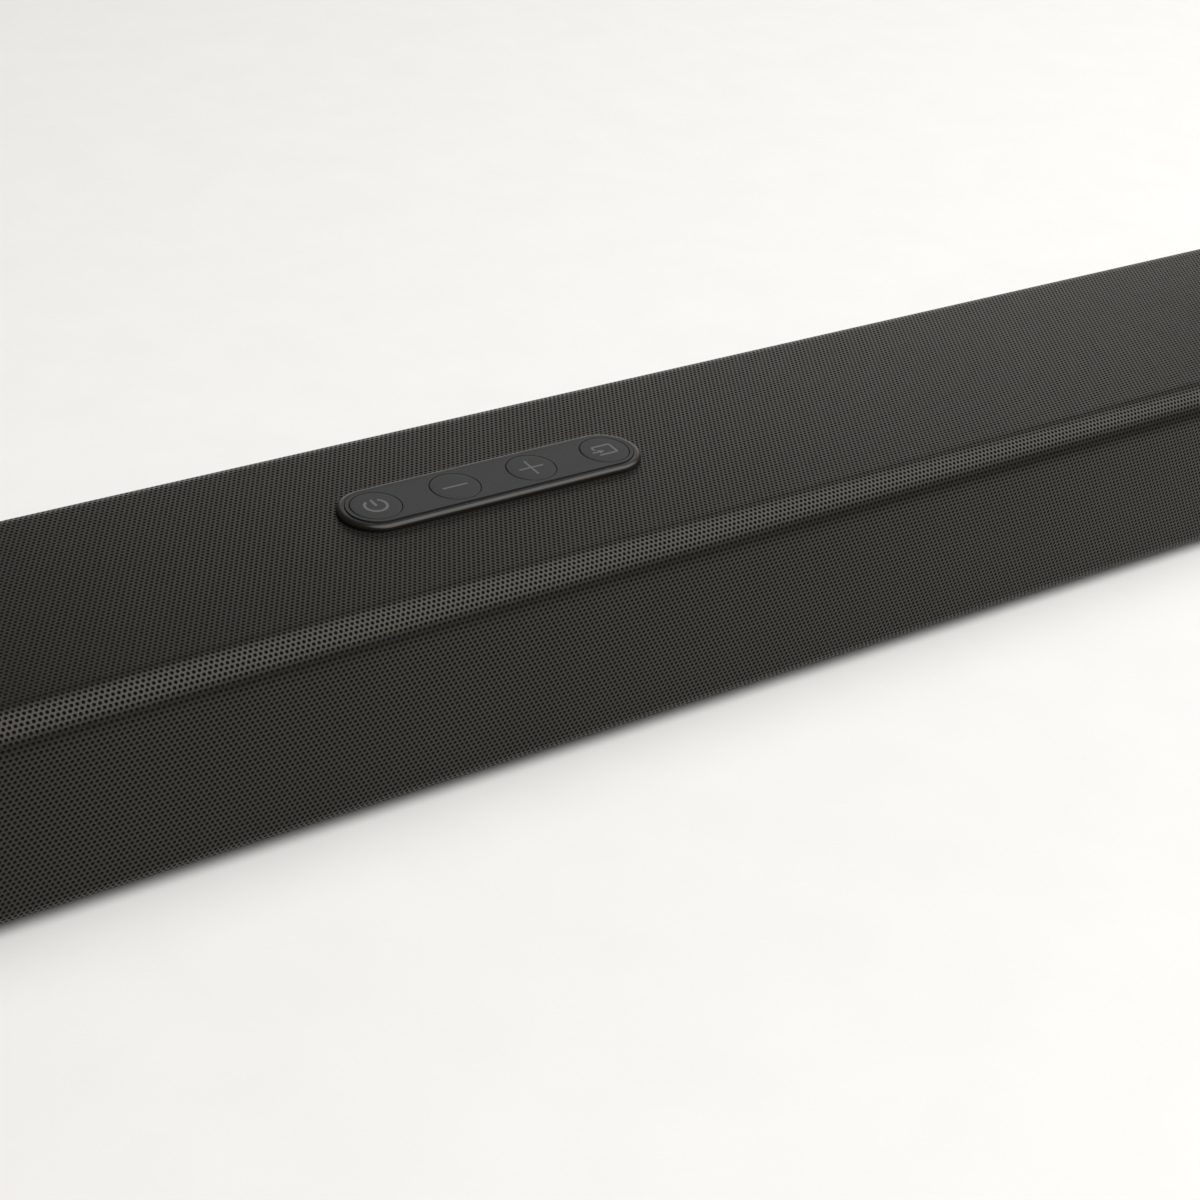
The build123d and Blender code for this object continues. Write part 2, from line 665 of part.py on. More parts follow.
with BuildPart() as amplifier_board:
    half_length = amplifier_board_length / 2
    half_height = amplifier_board_height / 2
    box_between((-half_length, half_length), (board_front, board_face),
                (recess_middle - half_height, recess_middle + half_height))
    rods(board_screw_places, INTO, pilot_radius, board_thickness, Mode.SUBTRACT)
save(amplifier_board, "amplifier_board")

chip_width, chip_height, chip_thickness = chip_size
chip_front = board_front - chip_thickness
amplifier_chip = plain_box((-chip_width / 2, chip_width / 2), (chip_front, board_front),
                           (recess_middle - chip_height / 2, recess_middle + chip_height / 2))
save(amplifier_chip, "amplifier_chip")

with BuildPart() as heatsink:
    sink_width, sink_height, sink_base = heatsink_size
    fin_thickness, fin_length = heatsink_fin
    sink_z = (recess_middle - sink_height / 2, recess_middle + sink_height / 2)
    box_between((-sink_width / 2, sink_width / 2), (chip_front - sink_base, chip_front), sink_z)
    fin_pitch = (sink_width - fin_thickness) / (heatsink_fins - 1)
    for i in range(heatsink_fins):
        fin_x = -sink_width / 2 + i * fin_pitch
        box_between((fin_x, fin_x + fin_thickness),
                    (chip_front - sink_base - fin_length, chip_front - sink_base), sink_z)
save(heatsink, "heatsink")

with BuildPart() as power_board:
    half_length = power_board_length / 2
    half_width = power_board_width / 2
    box_between((power_board_x - half_length, power_board_x + half_length),
                (power_board_y - half_width, power_board_y + half_width),
                (power_board_bottom, power_board_top))
    rods(power_screw_places, DOWN, pilot_radius, board_thickness, Mode.SUBTRACT)
save(power_board, "power_board")

core_length, core_width, core_height = transformer_size
transformer_x = power_board_x + transformer_shift
transformer = plain_box((transformer_x - core_length / 2, transformer_x + core_length / 2),
                        (power_board_y - core_width / 2, power_board_y + core_width / 2),
                        (power_board_top, power_board_top + core_height))
save(transformer, "transformer")

with BuildPart() as capacitors:
    rods([(power_board_x + capacitor_shift, power_board_y + side * capacitor_pitch / 2, power_board_top)
          for side in (-1, 1)], UP, capacitor_radius, capacitor_height)
save(capacitors, "capacitors")

with BuildPart() as ribbon_cable:
    ribbon_back = board_front - ribbon_thickness / 2
    ribbon_high = recess_middle + amplifier_board_height / 2
    with BuildSketch(Plane.YZ.offset(-ribbon_width / 2)):
        with BuildLine():
            FilletPolyline((panel_y, switch_board_bottom), (panel_y, ribbon_high),
                           (ribbon_back, ribbon_high), (ribbon_back, ribbon_high - ribbon_end),
                           radius=ribbon_bend)
            offset(amount=ribbon_thickness / 2, side=Side.LEFT)
        make_face()
    extrude(amount=ribbon_width)
save(ribbon_cable, "ribbon_cable")

board_length, board_height = indicator_board_size
indicator_front = baffle_front - indicator_board_thickness
with BuildPart() as indicator_board:
    box_between((-board_length / 2, board_length / 2), (indicator_front, baffle_front),
                (middle - board_height / 2, middle + board_height / 2))
    rods(indicator_screw_places, INTO, pilot_radius, indicator_board_thickness, Mode.SUBTRACT)
save(indicator_board, "indicator_board")

with BuildPart() as indicator_lamps:
    lamp_width, lamp_height, lamp_thickness = lamp_size
    for i in (-1, 0, 1):
        box_between((i * lamp_pitch - lamp_width / 2, i * lamp_pitch + lamp_width / 2),
                    (indicator_front - lamp_thickness, indicator_front),
                    (middle - lamp_height / 2, middle + lamp_height / 2))
save(indicator_lamps, "indicator_lamps")

with BuildPart() as remote_receiver:
    rods([(receiver_x, indicator_front, middle)], OUT, receiver_radius, lamp_thickness)
save(remote_receiver, "remote_receiver")

# ---------------------------------------------------------------- fasteners

with BuildPart() as cabinet_screws:
    screws([(x, split + well_floor, z) for x, z in wells], OUT, cabinet_screw)
save(cabinet_screws, "cabinet_screws")

with BuildPart() as driver_screws:
    screws(driver_screw_places, INTO, small_screw)
save(driver_screws, "driver_screws")

with BuildPart() as board_screws:
    screws(board_screw_places + plate_screw_places + indicator_screw_places, INTO, small_screw)
    screws(power_screw_places, DOWN, small_screw)
    screws(panel_screw_places, UP, small_screw)
save(board_screws, "board_screws")
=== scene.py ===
"""A soundbar's looks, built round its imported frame: the perforated grille, the control panel, the caps,
the feet, the speakers behind the grille, and the finish of every piece."""

import json
import math

import bpy
import numpy as np
from mathutils import Matrix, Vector
from mathutils.geometry import tessellate_polygon


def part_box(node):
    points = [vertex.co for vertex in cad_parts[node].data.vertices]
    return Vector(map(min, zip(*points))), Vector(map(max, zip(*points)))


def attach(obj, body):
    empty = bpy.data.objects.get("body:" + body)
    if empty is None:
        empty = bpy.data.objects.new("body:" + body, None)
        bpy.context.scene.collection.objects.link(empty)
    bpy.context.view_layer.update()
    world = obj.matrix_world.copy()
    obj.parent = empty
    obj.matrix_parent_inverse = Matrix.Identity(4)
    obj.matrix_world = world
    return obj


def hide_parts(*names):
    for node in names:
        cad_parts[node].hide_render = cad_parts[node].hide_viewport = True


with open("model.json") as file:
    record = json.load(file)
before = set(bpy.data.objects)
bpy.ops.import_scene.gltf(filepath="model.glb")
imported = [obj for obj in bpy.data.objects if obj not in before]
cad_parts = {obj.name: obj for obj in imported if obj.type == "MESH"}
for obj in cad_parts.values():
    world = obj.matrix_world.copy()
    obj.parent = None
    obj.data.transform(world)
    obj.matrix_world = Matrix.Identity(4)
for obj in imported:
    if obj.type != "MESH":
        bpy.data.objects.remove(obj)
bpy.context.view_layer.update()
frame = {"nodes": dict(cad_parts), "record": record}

bl_info = {
    "name": "Soundbar",
    "version": (1, 0, 0),
    "blender": (4, 5, 0),
    "location": "3D View > Sidebar > Soundbar",
    "description": "Builds the looks of a soundbar round its frame",
    "category": "Object",
}

# ---------------------------------------------------------------- places read from the frame

MM = 0.001
HOUSING = "housing"
BUTTONS = ("power", "volume_down", "volume_up", "input")
SIDES = ("left", "right")
GRILLE_LOW, GRILLE_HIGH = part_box("grille")
BEZEL_LOW, BEZEL_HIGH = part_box("panel_bezel")
PLATE_LOW, PLATE_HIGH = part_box("panel_plate")
BACK = GRILLE_HIGH.y
FRONT = GRILLE_LOW.y
TOP = GRILLE_HIGH.z
BOTTOM = GRILLE_LOW.z
PANEL_Y = (BEZEL_LOW.y + BEZEL_HIGH.y) / 2
PANEL_RADIUS = (BEZEL_HIGH.y - BEZEL_LOW.y) / 2
ROW_HALF = (BEZEL_HIGH.x - BEZEL_LOW.x) / 2 - PANEL_RADIUS
BUTTON_X = {name: sum(corner.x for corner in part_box(f"button_{name}")) / 2 for name in BUTTONS}


# ---------------------------------------------------------------- what a user may change


class SoundbarSizes(bpy.types.PropertyGroup):
    """Sizes of the visible details."""

    hole_pitch: bpy.props.FloatProperty(
        name="Hole pitch", description="Distance between two neighbouring holes of the grille",
        default=1.5 * MM, unit="LENGTH")
    hole_radius: bpy.props.FloatProperty(
        name="Hole radius", description="Radius of a hole of the grille", default=0.54 * MM, unit="LENGTH")
    hole_depth: bpy.props.FloatProperty(
        name="Hole depth", description="How deep a hole goes into the sheet", default=0.62 * MM,
        unit="LENGTH")
    sheet_thickness: bpy.props.FloatProperty(
        name="Sheet thickness", description="Thickness of the grille's sheet", default=0.8 * MM,
        unit="LENGTH")
    front_top_radius: bpy.props.FloatProperty(
        name="Front top radius", description="Rounding between the front and the top", default=10.5 * MM,
        unit="LENGTH")
    back_top_radius: bpy.props.FloatProperty(
        name="Back top radius", description="Rounding between the top and the back", default=7.0 * MM,
        unit="LENGTH")
    front_bottom_radius: bpy.props.FloatProperty(
        name="Front bottom radius", description="Rounding between the front and the underside",
        default=6.0 * MM, unit="LENGTH")
    back_bottom_radius: bpy.props.FloatProperty(
        name="Back bottom radius", description="Rounding between the back and the underside",
        default=5.0 * MM, unit="LENGTH")
    back_drop: bpy.props.FloatProperty(
        name="Back drop", description="How far the sheet comes down the back", default=14.0 * MM,
        unit="LENGTH")
    bottom_return: bpy.props.FloatProperty(
        name="Bottom return", description="How far the sheet runs in under the bar", default=13.0 * MM,
        unit="LENGTH")
    symbol_stroke: bpy.props.FloatProperty(
        name="Symbol stroke", description="Line width of the symbols on the buttons", default=0.6 * MM,
        unit="LENGTH")
    symbol_height: bpy.props.FloatProperty(
        name="Symbol height", description="Thickness of the printed symbols", default=0.02 * MM,
        unit="LENGTH")
    edge_radius: bpy.props.FloatProperty(
        name="Edge radius", description="Rounding of a button's top edge", default=0.3 * MM, unit="LENGTH")
    lip_radius: bpy.props.FloatProperty(
        name="Lip radius", description="Rounding of the control panel's outer edge", default=1.3 * MM,
        unit="LENGTH")
    cap_edge: bpy.props.FloatProperty(
        name="Cap edge", description="Rounding of an end cap's outer edge", default=1.8 * MM, unit="LENGTH")
    lens: bpy.props.FloatProperty(
        name="Lens", description="Focal length of the camera in millimetres", default=67.1)


class SoundbarColours(bpy.types.PropertyGroup):
    """Colours of the visible finishes."""

    grille: bpy.props.FloatVectorProperty(
        name="Grille", description="Powder coat of the grille", default=(0.0112, 0.0100, 0.0078),
        subtype="COLOR", min=0, max=1)
    # The pits' colour: black cloth seen through the holes, with painted shade of their insides.
    hole: bpy.props.FloatVectorProperty(
        name="Hole", description="Dark inside of the holes", default=(0.0170, 0.0155, 0.0130),
        subtype="COLOR", min=0, max=1)
    bezel: bpy.props.FloatVectorProperty(
        name="Bezel", description="Plastic of the control panel's bezel", default=(0.0100, 0.0095, 0.0080),
        subtype="COLOR", min=0, max=1)
    symbol: bpy.props.FloatVectorProperty(
        name="Symbol", description="Ink of the symbols", default=(0.105, 0.104, 0.103), subtype="COLOR",
        min=0, max=1)
    cabinet: bpy.props.FloatVectorProperty(
        name="Cabinet", description="Plastic of the cabinet and the caps", default=(0.020, 0.0198, 0.0195),
        subtype="COLOR", min=0, max=1)
    floor: bpy.props.FloatVectorProperty(
        name="Floor", description="Floor under the bar", default=(0.90, 0.885, 0.86), subtype="COLOR",
        min=0, max=1)


def sizes():
    """The sizes that the user has set."""
    return bpy.context.scene.soundbar_sizes


def colours():
    """The colours that the user has set."""
    return bpy.context.scene.soundbar_colours


# ---------------------------------------------------------------- materials

NOISE_LOW, NOISE_HIGH = 0.3, 0.7  # between which nearly all of a noise lies
BROAD_GRAIN = 35.0  # lumps per metre of the slow change of colour
RELIEF_STRENGTH = 0.6


def new_material(name):
    """An empty material, its tree and its shader."""
    material = bpy.data.materials.new(name)
    material.use_nodes = True
    tree = material.node_tree
    return material, tree, tree.nodes["Principled BSDF"]


def noise_at(tree, scale, detail):
    """A noise that follows the piece's own place, with the given number of lumps per metre."""
    place = tree.nodes.new("ShaderNodeTexCoord")
    noise = tree.nodes.new("ShaderNodeTexNoise")
    noise.inputs["Scale"].default_value = scale
    noise.inputs["Detail"].default_value = detail
    tree.links.new(place.outputs["Object"], noise.inputs["Vector"])
    return noise.outputs["Fac"]


def ranged(tree, value, low, high):
    """A noise value turned into a number between low and high."""
    node = tree.nodes.new("ShaderNodeMapRange")
    node.inputs["From Min"].default_value = NOISE_LOW
    node.inputs["From Max"].default_value = NOISE_HIGH
    node.inputs["To Min"].default_value = low
    node.inputs["To Max"].default_value = high
    tree.links.new(value, node.inputs["Value"])
    return node.outputs["Result"]


def add_bump(tree, shader, value, distance):
    """Relief from a noise value, distance metres high."""
    bump = tree.nodes.new("ShaderNodeBump")
    bump.inputs["Strength"].default_value = RELIEF_STRENGTH
    bump.inputs["Distance"].default_value = distance
    tree.links.new(value, bump.inputs["Height"])
    tree.links.new(bump.outputs["Normal"], shader.inputs["Normal"])


def tinted(tree, shader, value, colour, spread):
    """Base colour that wanders by spread either side of colour, following a noise value."""
    mix = tree.nodes.new("ShaderNodeMix")
    mix.data_type = "RGBA"
    mix.inputs["A"].default_value = (*[part * (1 - spread) for part in colour], 1)
    mix.inputs["B"].default_value = (*[part * (1 + spread) for part in colour], 1)
    tree.links.new(value, mix.inputs["Factor"])
    tree.links.new(mix.outputs["Result"], shader.inputs["Base Color"])


def finish_of(name, colour, rough, grain, relief, metal=0.0, spread=0.12, rough_spread=0.06,
              specular=0.5, glint=(1, 1, 1)):
    """A finish with grain lumps per metre, relief metres high, and colour and gloss that wander a little.
    glint is the tint of its reflections. A finish that is there already is used again."""
    if name in bpy.data.materials:
        return bpy.data.materials[name]
    material, tree, shader = new_material(name)
    shader.inputs["Metallic"].default_value = metal
    shader.inputs["Specular IOR Level"].default_value = specular
    shader.inputs["Specular Tint"].default_value = (*glint, 1)
    fine = noise_at(tree, grain, 2.0)
    broad = noise_at(tree, BROAD_GRAIN, 3.0)
    tinted(tree, shader, ranged(tree, broad, 0, 1), colour, spread)
    tree.links.new(ranged(tree, fine, rough - rough_spread, rough + rough_spread),
                   shader.inputs["Roughness"])
    add_bump(tree, shader, fine, relief)
    return material


def grille_paint():
    """Satin powder coat: near black, a little warm, with a fine orange-peel relief."""
    return finish_of("grille_paint", colours().grille, rough=0.37, grain=2600.0, relief=0.02 * MM,
                     specular=0.42, glint=(1.0, 0.95, 0.85))


def hole_dark():
    """Colour of the pits that stand in for the open holes: the black cloth seen through a hole, with
    painted shade of the hole's inside; it gives back almost no light.
    """
    material, _, shader = new_material("hole_dark")
    shader.inputs["Base Color"].default_value = (*colours().hole, 1)
    shader.inputs["Roughness"].default_value = 1.0
    shader.inputs["Specular IOR Level"].default_value = 0.0
    return material


def frame_finish(slot):
    """The plain finish that the frame itself brings for a slot."""
    return bpy.data.materials[slot]


def bezel_plastic():
    """Polished plastic of the bezel round the panel's plate."""
    return finish_of("bezel_plastic", colours().bezel, rough=0.30, grain=5200.0, relief=0.003 * MM,
                     spread=0.08, rough_spread=0.03, specular=0.5, glint=(1.0, 0.97, 0.92))


def symbol_ink():
    """Printed grey ink."""
    return finish_of("symbol_ink", colours().symbol, rough=0.55, grain=5000.0, relief=0.002 * MM,
                     spread=0.06)


def cabinet_plastic():
    """Spark-eroded moulded texture of the cabinet and the caps."""
    return finish_of("cabinet_plastic", colours().cabinet, rough=0.52, grain=1900.0, relief=0.035 * MM,
                     spread=0.10)


# Finishes by slot: colour, roughness, grain per metre, relief in millimetres, metal.
PLAIN_FINISHES = {
    "scrim_cloth": ((0.012, 0.012, 0.012), 0.95, 2400.0, 0.08, 0.0),
    "switch_plastic": ((0.03, 0.03, 0.03), 0.5, 3000.0, 0.005, 0.0),
    "board_laminate": ((0.012, 0.085, 0.035), 0.32, 900.0, 0.01, 0.0),
    "switch_metal": ((0.62, 0.62, 0.62), 0.34, 2500.0, 0.005, 1.0),
    "insert_brass": ((0.78, 0.57, 0.25), 0.32, 2500.0, 0.006, 1.0),
    "screw_steel": ((0.10, 0.10, 0.105), 0.38, 2500.0, 0.008, 1.0),
    "socket_plate_plastic": ((0.024, 0.024, 0.024), 0.55, 1900.0, 0.03, 0.0),
    "socket_plastic": ((0.014, 0.014, 0.014), 0.42, 3000.0, 0.006, 0.0),
    "socket_metal": ((0.58, 0.58, 0.59), 0.30, 2500.0, 0.004, 1.0),
    "component_plastic": ((0.02, 0.02, 0.02), 0.48, 2500.0, 0.01, 0.0),
    "heatsink_aluminium": ((0.72, 0.72, 0.73), 0.36, 1500.0, 0.01, 1.0),
    "transformer_core": ((0.42, 0.30, 0.07), 0.42, 900.0, 0.03, 0.0),
    "capacitor_can": ((0.03, 0.04, 0.07), 0.35, 2000.0, 0.01, 0.0),
    "ribbon_plastic": ((0.72, 0.72, 0.70), 0.45, 900.0, 0.02, 0.0),
    "lamp_lens": ((0.80, 0.80, 0.74), 0.12, 2000.0, 0.002, 0.0),
    "driver_frame": ((0.022, 0.022, 0.022), 0.42, 2200.0, 0.02, 0.0),
    "driver_magnet": ((0.10, 0.10, 0.10), 0.62, 1500.0, 0.03, 0.2),
    "cone_paper": ((0.030, 0.029, 0.028), 0.85, 2200.0, 0.05, 0.0),
    "surround_rubber": ((0.014, 0.014, 0.014), 0.68, 2400.0, 0.01, 0.0),
}


def plain_finish(slot):
    """The finish of a slot in PLAIN_FINISHES."""
    colour, rough, grain, relief, metal = PLAIN_FINISHES[slot]
    return finish_of(f"finish_{slot}", colour, rough, grain, relief * MM, metal)


def dress(node, material):
    """Gives a CAD node a finish."""
    data = frame["nodes"][node].data
    data.materials.clear()
    data.materials.append(material)


# ---------------------------------------------------------------- meshes from arrays

ROUND_SIDES = 96  # of every piece that is turned round an axis
CRISP_ANGLE = 0.6  # radians, above which an edge stays crisp


def new_piece(name, points, face_sets, materials, body=HOUSING, replaces=(), marks=None,
              sharp=CRISP_ANGLE):
    """A piece from an array of points and arrays of faces, each with one number of corners.
    marks holds one material number for each face set. Edges sharper than sharp stay crisp."""
    mesh = bpy.data.meshes.new(name)
    corners = np.concatenate([faces.ravel() for faces in face_sets]).astype(np.int32)
    counts = np.concatenate([np.full(len(faces), faces.shape[1]) for faces in face_sets])
    starts = np.concatenate([[0], np.cumsum(counts)[:-1]]).astype(np.int32)
    mesh.vertices.add(len(points))
    mesh.vertices.foreach_set("co", np.asarray(points, np.float32).ravel())
    mesh.loops.add(len(corners))
    mesh.polygons.add(len(counts))
    mesh.polygons.foreach_set("loop_start", starts)
    mesh.polygons.foreach_set("vertices", corners)
    for material in materials:
        mesh.materials.append(material)
    if marks is not None:
        numbers = np.concatenate([np.full(len(faces), mark) for faces, mark in zip(face_sets, marks)])
        mesh.polygons.foreach_set("material_index", numbers.astype(np.int32))
    mesh.update(calc_edges=True)
    mesh.shade_smooth()
    mesh.set_sharp_from_angle(angle=sharp)
    piece = bpy.data.objects.new(name, mesh)
    bpy.context.scene.collection.objects.link(piece)
    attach(piece, body)
    if replaces:
        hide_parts(*replaces)
    return piece


def grid_faces(rows, columns, round_rows=False, round_columns=False, first=0):
    """Quads of a grid of points, row by row, closed round either way if asked."""
    row = np.arange(rows if round_rows else rows - 1)
    column = np.arange(columns if round_columns else columns - 1)
    r, c = (array.ravel() for array in np.meshgrid(row, column, indexing="ij"))
    r_next = (r + 1) % rows
    c_next = (c + 1) % columns
    return first + np.stack([r * columns + c, r * columns + c_next, r_next * columns + c_next,
                             r_next * columns + c], 1)


def circle(sides):
    """Cosines and sines of evenly spaced angles round a whole turn."""
    angle = np.arange(sides) * 2 * math.pi / sides
    return np.cos(angle), np.sin(angle)


def turned(profile, centre):
    """Points and faces of a solid of revolution about an upright axis: each (radius, height) point of
    the profile becomes the ring (radius cos a, radius sin a, height). The profile starts and ends on
    the axis, where it closes with one point each."""
    profile = np.asarray(profile, float)
    ring = np.stack(circle(ROUND_SIDES), 1)
    inner = profile[1:-1]
    flat = inner[:, None, 0, None] * ring[None]
    height = np.broadcast_to(inner[:, None, 1, None], (*flat.shape[:2], 1))
    ends = np.array([[0, 0, profile[0, 1]], [0, 0, profile[-1, 1]]])
    points = np.concatenate([np.concatenate([flat, height], 2).reshape(-1, 3), ends])
    body = grid_faces(len(inner), ROUND_SIDES, round_columns=True)[:, ::-1]
    start = np.arange(ROUND_SIDES)
    after = (start + 1) % ROUND_SIDES
    low_tip = np.full(ROUND_SIDES, len(inner) * ROUND_SIDES)
    last = (len(inner) - 1) * ROUND_SIDES
    caps = np.concatenate([np.stack([start, after, low_tip], 1),
                           np.stack([last + after, last + start, low_tip + 1], 1)])
    return points + np.asarray(centre, float), [body, caps]


# ---------------------------------------------------------------- the bar's outline


def outline_runs():
    """The grille's run from under the front, up the front, over the top and down the back, as
    (length, start point, direction, outward normal, radius) with Y and Z only. Radius 0 is straight."""
    s = sizes()
    low_r, front_r, back_r = s.front_bottom_radius, s.front_top_radius, s.back_top_radius
    return [
        (s.bottom_return - low_r, (FRONT + s.bottom_return, BOTTOM), (-1, 0), (0, -1), 0),
        (low_r * math.pi / 2, (FRONT + low_r, BOTTOM), (-1, 0), (0, -1), low_r),
        (TOP - BOTTOM - low_r - front_r, (FRONT, BOTTOM + low_r), (0, 1), (-1, 0), 0),
        (front_r * math.pi / 2, (FRONT, TOP - front_r), (0, 1), (-1, 0), front_r),
        (BACK - FRONT - front_r - back_r, (FRONT + front_r, TOP), (1, 0), (0, 1), 0),
        (back_r * math.pi / 2, (BACK - back_r, TOP), (1, 0), (0, 1), back_r),
        (s.back_drop - back_r, (BACK, TOP - back_r), (0, -1), (1, 0), 0),
    ]


def run_lengths():
    """Where each run starts, and the whole length, measured along the sheet."""
    return np.concatenate([[0], np.cumsum([run[0] for run in outline_runs()])])


def wrapped(x, along, depth):
    """Points on the sheet: along is the distance along the outline and depth the distance below its
    outside. On a straight run the point is start + direction * t - normal * depth; on a round one it
    turns about the rounding's middle, at the radius less the depth."""
    x, along, depth = np.broadcast_arrays(x, along, depth)
    y = np.zeros(along.shape)
    z = np.zeros(along.shape)
    starts = run_lengths()
    runs = outline_runs()
    which = np.clip(np.searchsorted(starts, along, side="right") - 1, 0, len(runs) - 1)
    for number, (_, start, direction, normal, radius) in enumerate(runs):
        here = which == number
        t = along[here] - starts[number]
        if radius == 0:
            y[here] = start[0] + direction[0] * t - normal[0] * depth[here]
            z[here] = start[1] + direction[1] * t - normal[1] * depth[here]
            continue
        middle = (start[0] - normal[0] * radius, start[1] - normal[1] * radius)
        angle = t / radius
        reach = radius - depth[here]
        y[here] = middle[0] + reach * (normal[0] * np.cos(angle) + direction[0] * np.sin(angle))
        z[here] = middle[1] + reach * (normal[1] * np.cos(angle) + direction[1] * np.sin(angle))
    return np.stack([x, y, z], -1)


# ---------------------------------------------------------------- grille

BAND_ROWS = (19, 19, 19, 19, 19, 17, 15)  # rows of holes in each strip of the grille; all odd
PANEL_BAND = 4  # the strip with the opening for the control panel, which sits in its middle
OPENING_SPARE = 0.57 * MM  # from the panel's spigot to the middles of the nearest holes
SPIGOT_INSET = 1.6 * MM  # from the panel's outside to its spigot
ARC_STEP = math.radians(22.5)  # of the sheet's plain inside on a rounding
TOP_RUN = 4  # the outline's run over the top, where the panel is
END_MARGIN = 0.75  # pitches from the sheet's end to the nearest hole's middle, at the least
SAME_PLACE = 1e-7  # metres, below which two stations are one
MAP_MARGIN = 0.01  # of the flat map, left free all round
SHEET_CRISP_ANGLE = 0.5  # radians, as CRISP_ANGLE but for the sheet


def ring_steps(low, high):
    """Stations along the sheet's inside between two edges, close enough together on the roundings."""
    starts = run_lengths()
    stations = [low]
    for number, run in enumerate(outline_runs()):
        a, b = max(starts[number], low), min(starts[number + 1], high)
        if b <= a:
            continue
        radius = run[-1]
        pieces = 1 if radius == 0 else max(1, math.ceil((b - a) / radius / ARC_STEP))
        stations += list(a + (b - a) * np.arange(1, pieces + 1) / pieces)
    stations = np.array(stations)
    return stations[np.concatenate([[True], np.diff(stations) > SAME_PLACE])]


def chain_loop(edges):
    """The points of one closed loop, in order, from its directed edges."""
    after = dict(edges.tolist())
    first = int(edges[0, 0])
    loop = [first]
    while after[loop[-1]] != first:
        loop.append(after[loop[-1]])
    return np.array(loop)


